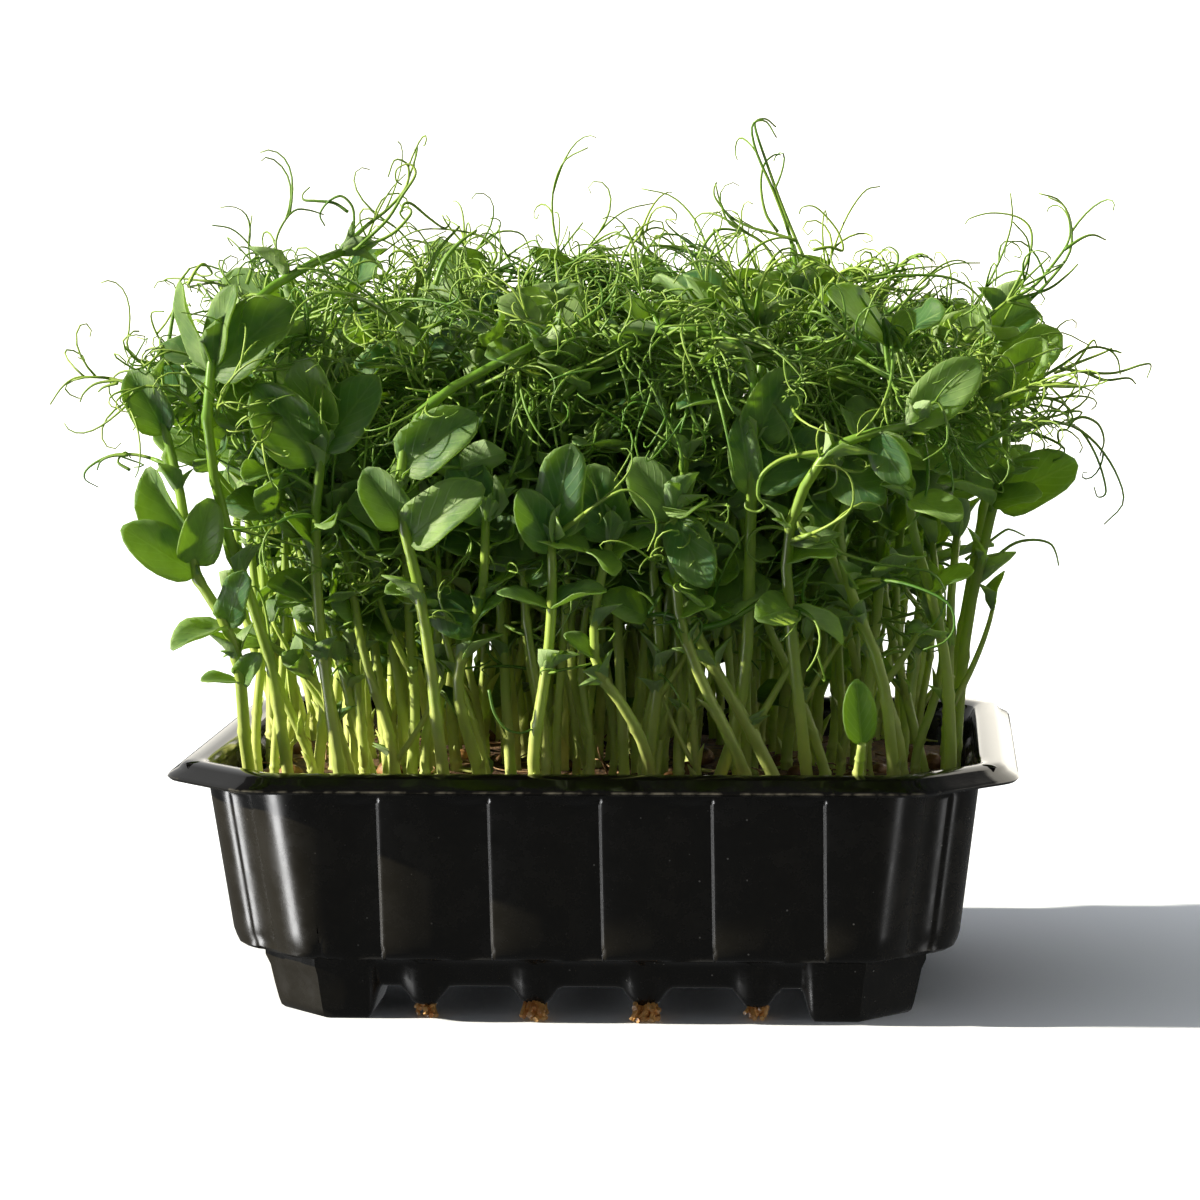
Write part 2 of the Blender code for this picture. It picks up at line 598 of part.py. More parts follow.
def curl(rng, start, heading, length, turn):
    """A path that sets out along the heading and winds up more and more tightly."""
    points = [start]
    axis = heading.cross(Vector((rng.uniform(-1, 1), rng.uniform(-1, 1), rng.uniform(-0.3, 0.3)))).normalized()
    steps = CURL_STEPS
    direction = heading.normalized()
    for k in range(steps):
        bend = turn * (0.3 + 1.4 * (k / steps) ** 2) / steps
        direction = Matrix.Rotation(bend, 3, axis) @ direction
        points.append(points[-1] + direction * (length / steps))
    return points


def grown_unit(rng, path, share, outward):
    """Two leaflets on a leaf stalk that ends in a tendril, set on the stem at a share of its height."""
    at = share * (len(path) - 1)
    low = min(int(at), len(path) - 2)
    start = path[low].lerp(path[low + 1], at - low)
    angle = rng.uniform(-math.pi, math.pi)
    aim = Vector((math.cos(angle), math.sin(angle), rng.uniform(0.2, 1.0)))
    aim = (aim + outward * rng.uniform(0.0, 0.9)).normalized()
    stalk = rng.uniform(8, 17)
    fork = start + aim * stalk + Vector((0, 0, stalk * 0.12))
    across = aim.cross(Vector((0, 0, 1))).normalized()
    leaves = []
    for side in (-1, 1):
        spread = rng.uniform(0.7, 1.2)
        along = (aim * 0.75 + across * side * spread + Vector((0, 0, rng.uniform(-0.1, 0.7)))).normalized()
        length = rng.uniform(*LEAF_LENGTH)
        facing = Vector((rng.uniform(-0.4, 0.4), rng.uniform(-0.7, 0.2), 1.0)) + outward * rng.uniform(0, 1.2)
        base = fork - along * LEAF_SINK
        leaves.append(leaf_between(base, base + along * length, length * LEAF_WIDTH, facing))
    heading = (aim + Vector((rng.uniform(-0.5, 0.5), rng.uniform(-0.5, 0.5), 0.9))).normalized()
    tendril = curl(rng, fork, heading, rng.uniform(24, 44), rng.uniform(1.5, 5.0))
    vine = [start, *tendril]
    return leaves, vine


def grown_shoot(rng, number, base, thicket):
    """A shoot that leans outwards and takes the first leaves that find room."""
    for attempt in range(40):
        reach = 1.13 + 0.012 * attempt * rng.uniform(-1, 1)
        height = rng.uniform(128, 157) - 0.0016 * (base[0] ** 2)
        top = Vector((base[0] * reach + rng.uniform(-6, 6), base[1] * reach + rng.uniform(-5, 5), height))
        sway = Vector((rng.uniform(-4, 4), rng.uniform(-4, 4), 0))
        foot = Vector((base[0], base[1], MAT_TOP))
        path = smooth_path([foot, foot.lerp(top, 0.12) * 1.0, foot.lerp(top, 0.5) + sway, top], STEM_STEPS)
        balls = tube_cover(path, STEM_RADIUS[0])
        if thicket.clear(balls, number) and thicket.inside(balls):
            break
    else:
        return None
    thicket.add(balls, number)
    shoot = {"stem": path, "leaves": [], "vines": []}
    outward = Vector((base[0] / 80, base[1] / 55, 0.0))
    wanted = 2 if rng.random() < 0.55 else 1
    for share in (rng.uniform(0.93, 0.99), rng.uniform(0.62, 0.82), rng.uniform(0.45, 0.6))[:wanted + 1]:
        for attempt in range(90):
            leaves, vine = grown_unit(rng, path, share, outward)
            vine_balls = tube_cover(vine, VINE_RADIUS)
            leaf_balls = [ball for leaf in leaves for ball in leaf_cover(leaf)]
            every = vine_balls + leaf_balls
            if thicket.clear(every, number) and thicket.inside(every):
                shoot["leaves"] += leaves
                shoot["vines"].append(vine)
                thicket.add(every, number)
                break
        if len(shoot["vines"]) >= wanted:
            break
    return shoot


def lay_out_shoots():
    rng = random.Random(SEED)
    thicket = Thicket()
    shoots = [drawn_shoot(k, drawing, thicket) for k, drawing in enumerate(DRAWN_SHOOTS)]
    feet = [shoot["stem"][0].to_2d() for shoot in shoots]
    places = []
    for row in range(GRID_ROWS):
        for column in range(GRID_COLUMNS):
            x = -70 + 140 * (column + 0.5 * (row % 2)) / (GRID_COLUMNS - 0.5) + rng.uniform(-3, 3)
            y = -30 + 78 * row / (GRID_ROWS - 1) + rng.uniform(-3, 3)
            if all((Vector((x, y)) - foot).length > 8 for foot in feet):
                places.append((x, y))
    for base in places:
        shoot = grown_shoot(rng, len(shoots), base, thicket)
        if shoot and shoot["vines"]:
            shoots.append(shoot)
    return shoots


def rooted(path):
    """The stem carried straight down into its hole."""
    foot = path[0]
    return [Vector((foot.x, foot.y, MAT_TOP - HOLE_DEPTH + 0.8)), Vector((foot.x, foot.y, MAT_TOP + 1.0)), *path[1:]]


def stem_radii(count):
    return [STEM_RADIUS[0] + (STEM_RADIUS[1] - STEM_RADIUS[0]) * k / (count - 1) for k in range(count)]


def build_shoots(shoots):
    stem_section = ring_profile("stem_section", STEM_SIDES)
    vine_section = ring_profile("vine_section", VINE_SIDES)
    template = leaf_template()
    for number, shoot in enumerate(shoots, 1):
        path = rooted(shoot["stem"])
        meshes = [tube_mesh("stem", path, stem_radii(len(path)), stem_section)]
        for vine in shoot["vines"]:
            radii = [STALK_RADIUS] * 2 + [VINE_RADIUS] * (len(vine) - 2)
            meshes.append(tube_mesh("vine", vine, radii, vine_section))
        for leaf in shoot["leaves"]:
            meshes.append(leaf_mesh(template, leaf))
        fuse(f"pea_shoot_{number:02d}", meshes, leaf_green)


# Growing mat

def mat_block():
    """The mat's body: chamfered sections from its underside on the ridges to its top."""
    bm = bmesh.new()
    rings = []
    for half, cut, height in MAT_LEVELS:
        ring = []
        for sign_x, sign_y in ((-1, -1), (1, -1), (1, 1), (-1, 1)):
            _, on_x, on_y = corner_points(half, cut, sign_x, sign_y)
            pair = (on_y, on_x) if sign_x * sign_y > 0 else (on_x, on_y)
            ring += [bm.verts.new((*place, height)) for place in pair]
        rings.append(ring)
    for lower, upper in zip(rings, rings[1:]):
        for k in range(len(lower)):
            following = (k + 1) % len(lower)
            bm.faces.new((lower[k], lower[following], upper[following], upper[k]))
    bm.faces.new(rings[0])
    bm.faces.new(rings[-1])
    bmesh.ops.recalc_face_normals(bm, faces=bm.faces)
    bmesh.ops.scale(bm, vec=(MM, MM, MM), verts=bm.verts)
    return mesh_from_bmesh(bm, "mat")


def cone_mesh(name, place, radii, height, sides):
    """A straight or tapered peg that stands on a place."""
    bm = bmesh.new()
    bmesh.ops.create_cone(bm, cap_ends=True, segments=sides, radius1=radii[0], radius2=radii[1], depth=height)
    bmesh.ops.translate(bm, vec=(*place[:2], place[2] + height / 2), verts=bm.verts)
    bmesh.ops.scale(bm, vec=(MM, MM, MM), verts=bm.verts)
    return mesh_from_bmesh(bm, name)


def seed_mesh(place, radius):
    bm = bmesh.new()
    bmesh.ops.create_uvsphere(bm, u_segments=6, v_segments=4, radius=radius)
    bmesh.ops.translate(bm, vec=place, verts=bm.verts)
    bmesh.ops.scale(bm, vec=(MM, MM, MM), verts=bm.verts)
    return mesh_from_bmesh(bm, "seed")


def seed_places(rng, feet):
    """Old pea seeds half sunk in the mat's top, clear of every stem."""
    places = [Vector(place) for place in SEEN_SEEDS]
    while len(places) < SEED_COUNT:
        place = Vector((rng.uniform(-72, 72), rng.uniform(-48, 48), MAT_TOP + 0.6))
        off_stems = all((place.to_2d() - foot).length > SEED_RADIUS + 3.2 for foot in feet)
        off_seeds = all((place - other).length > 2.2 * SEED_RADIUS for other in places)
        if off_stems and off_seeds:
            places.append(place)
    return places


def root_tuft(rng, x, sign_y, strands, section):
    """A plug through a drain hole, and strands that spread from it under the tray's lower edge."""
    top = Vector((x, sign_y * HOLE_CENTRE_Y, 4.0))
    meshes = [cone_mesh("plug", (x, top.y, 2.9), (1.7, 2.2), MAT_BOTTOM - 2.0, 5)]
    for k in range(strands):
        spread = (k - (strands - 1) / 2) * 1.3
        rise = rng.uniform(1.3, 4.6)
        path = [top + Vector((spread * 0.25, 0, 0)),
                Vector((x + spread * 0.6, sign_y * 44.6, 1.5)),
                Vector((x + spread, sign_y * 48.0, 1.1)),
                Vector((x + spread * 1.4, sign_y * rng.uniform(49.4, 50.4), rise))]
        meshes.append(tube_mesh("strand", path, [0.8, 0.7, 0.6, 0.45], section))
    return meshes


def build_mat(shoots):
    rng = random.Random(SEED + 1)
    section = ring_profile("root_section", 3)
    feet = [shoot["stem"][0].to_2d() for shoot in shoots]
    meshes = [mat_block()]
    for low, high in VALLEY_BANDS:
        for x in (-(low + high) / 2, (low + high) / 2):
            meshes += root_tuft(rng, x, -1, FRONT_STRANDS, section)
            meshes += root_tuft(rng, x, 1, REAR_STRANDS, section)
    meshes += [seed_mesh(place, SEED_RADIUS) for place in seed_places(rng, feet)]
    mat = fuse("growing_mat", meshes, coir_mat)
    radius = (STEM_RADIUS[0] + HOLE_GAP) / math.cos(math.pi / HOLE_SIDES)
    low = MAT_TOP - HOLE_DEPTH
    holes = [cone_mesh("hole", (*foot, low), (radius, radius), HOLE_DEPTH + 6, HOLE_SIDES) for foot in feet]
    cut = make_collection("stem_holes", hidden=True)
    for k, mesh in enumerate(holes):
        add_object(f"stem_hole_{k:02d}", mesh, cut).display_type = "WIRE"
    carve = mat.modifiers.new("holes", "BOOLEAN")
    carve.operation = "DIFFERENCE"
    carve.operand_type = "COLLECTION"
    carve.collection = cut
    carve.solver = "EXACT"


shoots = lay_out_shoots()
build_shoots(shoots)
build_mat(shoots)
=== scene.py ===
import math
import random

import bpy
import numpy as np
from mathutils import Matrix, Vector


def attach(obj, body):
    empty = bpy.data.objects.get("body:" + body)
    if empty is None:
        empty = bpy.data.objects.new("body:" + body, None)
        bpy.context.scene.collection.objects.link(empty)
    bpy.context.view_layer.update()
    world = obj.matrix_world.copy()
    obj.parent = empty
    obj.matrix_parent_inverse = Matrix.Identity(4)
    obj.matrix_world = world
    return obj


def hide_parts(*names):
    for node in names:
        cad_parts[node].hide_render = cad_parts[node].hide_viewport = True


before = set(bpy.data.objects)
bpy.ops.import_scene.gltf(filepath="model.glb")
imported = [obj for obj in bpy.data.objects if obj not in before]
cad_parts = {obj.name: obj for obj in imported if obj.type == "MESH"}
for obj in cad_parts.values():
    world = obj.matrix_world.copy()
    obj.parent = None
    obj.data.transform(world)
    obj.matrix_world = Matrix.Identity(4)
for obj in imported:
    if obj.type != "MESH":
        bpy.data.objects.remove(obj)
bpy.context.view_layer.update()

mm = 0.001
print("frame loaded:", len(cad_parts), "nodes")


# small helpers for picking and finishing

def pickNone():
    bpy.ops.object.select_all(action="DESELECT")


def pick(*objects):
    pickNone()
    for one in objects:
        one.select_set(True)
    bpy.context.view_layer.objects.active = objects[0]


def rename(name):
    made = bpy.context.object
    made.name = name
    made.data.name = name
    return made


def editMode():
    bpy.ops.object.mode_set(mode="EDIT")


def objectMode():
    bpy.ops.object.mode_set(mode="OBJECT")


def addObject(name, data):
    made = bpy.data.objects.new(name, data)
    bpy.context.scene.collection.objects.link(made)
    return made


def clamped(value):
    return min(1.0, max(0.0, value))


def selectVerts(obj, test):
    # selects the vertices whose place passes the test, and leaves edit mode on
    editMode()
    bpy.ops.mesh.select_mode(type="VERT")
    bpy.ops.mesh.select_all(action="DESELECT")
    objectMode()
    for vert in obj.data.vertices:
        vert.select = test(vert.co)
    editMode()


def applyModifier(obj, kind, **values):
    pick(obj)
    added = obj.modifiers.new(kind.lower(), kind)
    for key, value in values.items():
        setattr(added, key, value)
    bpy.ops.object.modifier_apply(modifier=added.name)


def placed(obj):
    pick(obj)
    bpy.ops.object.transform_apply(location=True, rotation=True, scale=True)
    return obj


def copied(obj, matrix):
    # a copy with its own mesh, its place already in the mesh
    twin = addObject(obj.name, obj.data.copy())
    twin.data.transform(matrix)
    return twin


def joined(name, objects):
    pick(*objects)
    if len(objects) > 1:
        bpy.ops.object.join()
    return rename(name)


def ringTube(name, rings, fill, step):
    # a circle extruded once for each further ring, then every ring laid on its own points
    pickNone()
    bpy.ops.mesh.primitive_circle_add(vertices=len(rings[0]), radius=0.1, fill_type=fill)
    made = rename(name)
    editMode()
    bpy.ops.mesh.select_mode(type="VERT")
    bpy.ops.mesh.select_all(action="SELECT")
    for _ in rings[1:]:
        bpy.ops.mesh.extrude_region_move(TRANSFORM_OT_translate={"value": (0, 0, step)})
    objectMode()
    made.data.vertices.foreach_set("co", [v * mm for ring in rings for place in ring for v in place])
    made.data.update()
    return made


def smoothed(obj, degrees):
    pick(obj)
    bpy.ops.object.shade_smooth_by_angle(angle=math.radians(degrees))


# material helpers

def wire(source, output, target, entry):
    source.id_data.links.new(source.outputs[output], target.inputs[entry])


def addNode(tree, kind, values=None, **settings):
    # a value that is a pair of node and output is linked, and any other is set on the socket
    node = tree.nodes.new(kind)
    for key, value in settings.items():
        setattr(node, key, value)
    for key, value in (values or {}).items():
        if isinstance(value, tuple) and isinstance(value[0], bpy.types.Node):
            wire(*value, node, key)
        else:
            node.inputs[key].default_value = value
    return node


def addMath(tree, operation, *entries):
    return addNode(tree, "ShaderNodeMath", dict(enumerate(entries)), operation=operation), 0


def addRange(tree, value, start=0.0, end=1.0, low=0.0, high=1.0):
    values = {"Value": value, "From Min": start, "From Max": end, "To Min": low, "To Max": high}
    return addNode(tree, "ShaderNodeMapRange", values), "Result"


def addNoise(tree, place, scale, detail=2.0, roughness=0.5):
    values = {"Vector": place, "Scale": scale, "Detail": detail, "Roughness": roughness}
    return addNode(tree, "ShaderNodeTexNoise", values), "Fac"


def addMix(tree, share, first, second, blend="MIX"):
    values = {"Factor": share, "A": first, "B": second}
    return addNode(tree, "ShaderNodeMix", values, data_type="RGBA", blend_type=blend), "Result"


def objectPlace(tree):
    return tree.nodes.new("ShaderNodeTexCoord"), "Object"


def newMaterial(name):
    material = bpy.data.materials.new(name)
    material.use_nodes = True
    return material, material.node_tree, material.node_tree.nodes["Principled BSDF"]


def groupInputs(group, entries):
    for name, kind, value in entries:
        socket = group.interface.new_socket(name=name, in_out="INPUT", socket_type=kind)
        socket.default_value = value


def groupOutputs(group, entries):
    for name, kind in entries:
        group.interface.new_socket(name=name, in_out="OUTPUT", socket_type=kind)


def makeMottleGroup():
    # two tones in soft patches, with fine grain for the bump
    group = bpy.data.node_groups.new("plantMottle", "ShaderNodeTree")
    groupInputs(group, [("Light", "NodeSocketColor", (1, 1, 1, 1)), ("Dark", "NodeSocketColor", (0, 0, 0, 1)),
                        ("Patch Scale", "NodeSocketFloat", 60.0), ("Grain Scale", "NodeSocketFloat", 900.0),
                        ("Bias", "NodeSocketFloat", 0.0)])
    groupOutputs(group, [("Colour", "NodeSocketColor"), ("Mask", "NodeSocketFloat"),
                         ("Grain", "NodeSocketFloat")])
    ins = group.nodes.new("NodeGroupInput")
    outs = group.nodes.new("NodeGroupOutput")
    place = objectPlace(group)
    patches = addNoise(group, place, (ins, "Patch Scale"), 3.0, 0.6)
    grain = addNoise(group, place, (ins, "Grain Scale"))
    spread = addRange(group, addMath(group, "ADD", patches, (ins, "Bias")), 0.32, 0.68)
    mix = addMix(group, spread, (ins, "Dark"), (ins, "Light"))
    wire(*mix, outs, "Colour")
    wire(*spread, outs, "Mask")
    wire(*grain, outs, "Grain")
    return group


def makeVeinGroup():
    # midrib and slanting side veins from the leaf's own UV map, and its pale margin
    group = bpy.data.node_groups.new("leafVeins", "ShaderNodeTree")
    groupInputs(group, [("Side Veins", "NodeSocketFloat", 30.0), ("Slant", "NodeSocketFloat", 0.9)])
    groupOutputs(group, [("Mask", "NodeSocketFloat"), ("Margin", "NodeSocketFloat")])
    ins = group.nodes.new("NodeGroupInput")
    outs = group.nodes.new("NodeGroupOutput")
    uv = addNode(group, "ShaderNodeUVMap", uv_map="UVMap")
    split = addNode(group, "ShaderNodeSeparateXYZ", {0: (uv, "UV")})
    away = addMath(group, "ABSOLUTE", addMath(group, "SUBTRACT", (split, "X"), 0.5))
    slanted = addMath(group, "MULTIPLY", away, (ins, "Slant"))
    along = addMath(group, "SUBTRACT", (split, "Y"), slanted)
    wave = addMath(group, "SINE", addMath(group, "MULTIPLY", along, (ins, "Side Veins")))
    lines = addRange(group, wave, 0.8, 1.0, 0.0, 0.55)
    midrib = addRange(group, away, 0.035, 0.008)
    wire(*addMath(group, "MAXIMUM", lines, midrib), outs, "Mask")
    wire(*addRange(group, away, 0.455, 0.495), outs, "Margin")
    return group


mottleGroup = makeMottleGroup()
veinGroup = makeVeinGroup()


def addGroup(tree, group, values):
    node = tree.nodes.new("ShaderNodeGroup")
    node.node_tree = group
    for key, value in values.items():
        node.inputs[key].default_value = value
    return node


def addMottle(tree, light, dark, patchScale, grainScale):
    return addGroup(tree, mottleGroup, {"Light": (*light, 1), "Dark": (*dark, 1), "Patch Scale": patchScale,
                                        "Grain Scale": grainScale})


def addBump(tree, shader, height, strength, distance):
    bump = addNode(tree, "ShaderNodeBump", {"Strength": strength, "Distance": distance, "Height": height})
    wire(bump, "Normal", shader, "Normal")


def addRoughness(tree, shader, source, middle, below=0.1, above=0.1):
    wire(*addRange(tree, source, 0.0, 1.0, middle - below, middle + above), shader, "Roughness")


def addGlow(tree, shader, colour, through):
    # light that passes through the blade or stalk
    glow = addNode(tree, "ShaderNodeBsdfTranslucent", {"Color": (*colour, 1)})
    blend = addNode(tree, "ShaderNodeMixShader", {"Fac": through, 1: (shader, "BSDF"), 2: (glow, "BSDF")})
    wire(blend, "Shader", tree.nodes["Material Output"], "Surface")


leafLooks = {
    "leafTop": {"light": (0.22, 0.31, 0.13), "dark": (0.024, 0.076, 0.038), "vein": (0.34, 0.48, 0.19),
                "veinShare": 0.32, "glow": (0.62, 0.86, 0.11), "through": 0.34, "rough": 0.5,
                "specular": 0.22},
    "leafUnder": {"light": (0.38, 0.48, 0.26), "dark": (0.19, 0.31, 0.15), "vein": (0.46, 0.58, 0.32),
                  "veinShare": 0.42, "glow": (0.62, 0.86, 0.14), "through": 0.34, "rough": 0.62,
                  "specular": 0.22},
}


def makeLeafMaterial(name):
    looks = leafLooks[name]
    material, tree, shader = newMaterial(name)
    mottle = addMottle(tree, looks["light"], looks["dark"], 120.0, 1500.0)
    tone = addNode(tree, "ShaderNodeAttribute", attribute_name="tone")
    wire(*addRange(tree, (tone, "Fac"), 0.0, 1.0, -0.2, 0.2), mottle, "Bias")
    veins = addGroup(tree, veinGroup, {"Side Veins": 44.0, "Slant": 0.8})
    share = addMath(tree, "MULTIPLY", (veins, "Mask"), looks["veinShare"])
    pale = addMath(tree, "MULTIPLY_ADD", (veins, "Margin"), 0.4, share)
    wire(*addMix(tree, pale, (mottle, "Colour"), (*looks["vein"], 1)), shader, "Base Color")
    addRoughness(tree, shader, (mottle, "Grain"), looks["rough"], 0.08, 0.12)
    height = addMath(tree, "MULTIPLY_ADD", (mottle, "Grain"), 0.35, (veins, "Mask"))
    addBump(tree, shader, height, 0.5, 0.0003)
    shader.inputs["Specular IOR Level"].default_value = looks["specular"]
    addGlow(tree, shader, looks["glow"], looks["through"])
    return material


stemLooks = {"foot": (0.66, 0.71, 0.27), "middle": (0.42, 0.54, 0.12), "top": (0.15, 0.31, 0.04),
             "rough": 0.38, "footHeight": 0.052, "middleShare": 0.42, "topHeight": 0.135, "specular": 0.3,
             "glow": (0.55, 0.72, 0.10), "through": 0.22}


def makeStemMaterial():
    # pale at the foot, greener higher up, with fine lengthwise ridges
    material, tree, shader = newMaterial("stemSkin")
    place = objectPlace(tree)
    split = addNode(tree, "ShaderNodeSeparateXYZ", {0: place})
    rise = addRange(tree, (split, "Z"), stemLooks["footHeight"], stemLooks["topHeight"])
    ramp = addNode(tree, "ShaderNodeValToRGB", {"Fac": rise})
    ramp.color_ramp.elements[0].color = (*stemLooks["foot"], 1)
    ramp.color_ramp.elements[1].color = (*stemLooks["top"], 1)
    ramp.color_ramp.elements.new(stemLooks["middleShare"]).color = (*stemLooks["middle"], 1)
    mottle = addMottle(tree, (1.12, 1.08, 1.0), (0.78, 0.86, 0.72), 90.0, 1100.0)
    wire(*addMix(tree, 1.0, (ramp, "Color"), (mottle, "Colour"), "MULTIPLY"), shader, "Base Color")
    addRoughness(tree, shader, (mottle, "Grain"), stemLooks["rough"])
    stretch = addNode(tree, "ShaderNodeMapping", {"Scale": (1, 1, 0.06), "Vector": place})
    addBump(tree, shader, addNoise(tree, (stretch, "Vector"), 1400.0, 1.0), 0.3, 0.0002)
    shader.inputs["Specular IOR Level"].default_value = stemLooks["specular"]
    addGlow(tree, shader, stemLooks["glow"], stemLooks["through"])
    return material


tendrilLooks = {"light": (0.40, 0.54, 0.10), "dark": (0.085, 0.22, 0.032), "rough": 0.42, "specular": 0.35,
                "glow": (0.35, 0.6, 0.06), "through": 0.25}


def makeTendrilMaterial():
    material, tree, shader = newMaterial("tendrilSkin")
    mottle = addMottle(tree, tendrilLooks["light"], tendrilLooks["dark"], 38.0, 1600.0)
    wire(mottle, "Colour", shader, "Base Color")
    addRoughness(tree, shader, (mottle, "Grain"), tendrilLooks["rough"])
    addBump(tree, shader, (mottle, "Grain"), 0.2, 0.0001)
    shader.inputs["Specular IOR Level"].default_value = tendrilLooks["specular"]
    addGlow(tree, shader, tendrilLooks["glow"], tendrilLooks["through"])
    return material


trayShape = {"sheet": 0.9, "rimHeight": 57.0, "rimHalf": (93.5, 68.5), "rimFlat": 4.2, "skirtOut": 3.2,
             "skirtDrop": 3.4, "rimCuts": (21.0, 9.0), "wallTop": (84.7, 61.2), "wallFoot": (80.6, 56.4),
             "wallCuts": (18.0, 12.0), "ledgeHeight": 15.0, "ledgeHalf": (73.5, 50.5),
             "footFloor": (69.5, 46.8), "footInner": (49.5, 26.0), "footDraft": 3.0, "footChamfer": 13.0,
             "flutePitch": 24.2, "fluteHalf": 5.7, "fluteDepth": 1.5, "fluteShift": -1.4, "ridge": 7.0,
             "valley": 3.0, "valleyCentres": (12.2, 36.6), "bumpDepth": 1.3, "cornerSoftness": 4.5,
             "wallRound": 54.6, "wallStart": 53.2, "wallSlope": (50.6, 17.2), "fluteEnd": 53.0,
             "wallLevels": (52.4, 51.9, 51.4, 50.9, 50.4, 49.9, 49.3, 47.4, 38.0, 28.0, 21.0, 18.4),
             "footRings": ((-0.35, (18.0, 12.0), 16.6, 1.0), (-0.95, (17.0, 11.6), 15.55, 0.8),
                           (-1.9, (16.0, 11.4), 15.05, 0.5)),
             "lastRing": ((75.6, 52.4), (14.6, 11.2), 14.98), "drainHalf": 2.4, "drainFrom": 40.9,
             "drainTo": 46.6}
# edge is the pale colour painted along the skirt's lower edge, partly wear and partly painted highlight
trayLooks = {"plastic": (0.0092, 0.0082, 0.0060), "worn": (0.0155, 0.0136, 0.0094), "rough": (0.19, 0.33),
             "dust": (0.42, 0.40, 0.36), "speckScale": 480.0, "specks": 0.86, "specular": 0.34,
             "edge": (0.085, 0.08, 0.066), "edgeFrom": (0.0895, 0.0645, 1.0),
             "rim": (0.0014, 0.0012, 0.0010)}


def makeTrayMaterial():
    # dark glossy sheet with a faint warm haze, scattered dust and a pale broken line along the skirt's edge,
    # partly rubbed wear and partly painted highlight
    material, tree, shader = newMaterial("trayPlastic")
    place = objectPlace(tree)
    haze = addNoise(tree, place, 26.0, 4.0, 0.6)
    base = addMix(tree, haze, (*trayLooks["plastic"], 1), (*trayLooks["worn"], 1))
    cells = addNode(tree, "ShaderNodeTexVoronoi",
                    {"Vector": place, "Scale": trayLooks["speckScale"], "Randomness": 1.0})
    cellColour = addNode(tree, "ShaderNodeSeparateColor", {0: (cells, "Color")})
    few = addMath(tree, "GREATER_THAN", (cellColour, "Red"), trayLooks["specks"])
    speck = addMath(tree, "MULTIPLY", addRange(tree, (cells, "Distance"), 0.13, 0.06), few)
    dust = addMath(tree, "MULTIPLY", speck, addRange(tree, addNoise(tree, place, 18.0), 0.42, 0.62))
    dusty = addMix(tree, dust, base, (*trayLooks["dust"], 1))
    # the rim and its skirt are darker and smoother than the wall
    split = addNode(tree, "ShaderNodeSeparateXYZ", {0: place})
    skirtEdge = trayShape["rimHeight"] * mm - trayShape["skirtDrop"] * mm
    level = addMath(tree, "SUBTRACT", (split, "Z"), skirtEdge)
    onRim = addRange(tree, level, 0.0, 0.0004)
    clean = addMix(tree, onRim, dusty, (*trayLooks["rim"], 1))
    # the skirt's cut lower edge is painted pale in places: partly rubbed wear, partly a painted highlight
    edgeGlintAndWear = addRange(tree, addMath(tree, "ABSOLUTE", level), 0.0007, 0.0004)
    outward = addNode(tree, "ShaderNodeVectorMath", {0: place}, operation="ABSOLUTE")
    beyond = addNode(tree, "ShaderNodeVectorMath", {0: (outward, 0), 1: trayLooks["edgeFrom"]},
                     operation="SUBTRACT")
    sides = addNode(tree, "ShaderNodeSeparateXYZ", {0: (beyond, 0)})
    outer = addMath(tree, "GREATER_THAN", addMath(tree, "MAXIMUM", (sides, "X"), (sides, "Y")), 0.0)
    patchy = addRange(tree, addNoise(tree, place, 260.0, 3.0), 0.44, 0.62)
    # painted highlight and wear: the pale edge colour goes where the band, the outer side and the patches
    # meet
    worn = addMath(tree, "MULTIPLY", addMath(tree, "MULTIPLY", edgeGlintAndWear, outer), patchy)
    wire(*addMix(tree, worn, clean, (*trayLooks["edge"], 1)), shader, "Base Color")
    rough = addRange(tree, addNoise(tree, place, 140.0, 5.0, 0.7), 0.3, 0.7, *trayLooks["rough"])
    polish = addMath(tree, "MULTIPLY_ADD", onRim, -0.66, 1.0)
    wire(*addMath(tree, "MULTIPLY", polish, rough), shader, "Roughness")
    height = addMath(tree, "MULTIPLY_ADD", addNoise(tree, place, 60.0), 0.6, dust)
    addBump(tree, shader, height, 0.03, 0.0004)
    shader.inputs["Specular IOR Level"].default_value = trayLooks["specular"]
    return material


matLooks = {"light": (0.20, 0.115, 0.052), "dark": (0.030, 0.017, 0.009), "fibre": (0.36, 0.24, 0.12),
            "seedLight": (0.30, 0.155, 0.055), "seedDark": (0.10, 0.045, 0.018),
            "rootLight": (0.92, 0.54, 0.17), "rootDark": (0.48, 0.17, 0.03)}


def makeEarthMaterial(name, light, dark, patchScale, grainScale, rough, bump, specular=0.3):
    material, tree, shader = newMaterial(name)
    mottle = addMottle(tree, matLooks[light], matLooks[dark], patchScale, grainScale)
    wire(mottle, "Colour", shader, "Base Color")
    addRoughness(tree, shader, (mottle, "Mask"), rough, 0.12, 0.08)
    addBump(tree, shader, (mottle, "Grain"), bump, 0.0006)
    shader.inputs["Specular IOR Level"].default_value = specular
    return material


leafTop = makeLeafMaterial("leafTop")
leafUnder = makeLeafMaterial("leafUnder")
stemSkin = makeStemMaterial()
tendrilSkin = makeTendrilMaterial()
trayPlastic = makeTrayMaterial()
coirEarth = makeEarthMaterial("coirEarth", "light", "dark", 420.0, 1500.0, 0.85, 0.9)
fibreSkin = makeEarthMaterial("coirFibre", "fibre", "light", 300.0, 1800.0, 0.7, 0.3)
seedSkin = makeEarthMaterial("seedSkin", "seedLight", "seedDark", 240.0, 1400.0, 0.5, 0.5)
rootSkin = makeEarthMaterial("rootSkin", "rootLight", "rootDark", 330.0, 1600.0, 0.45, 0.4, 0.5)
print("materials made")


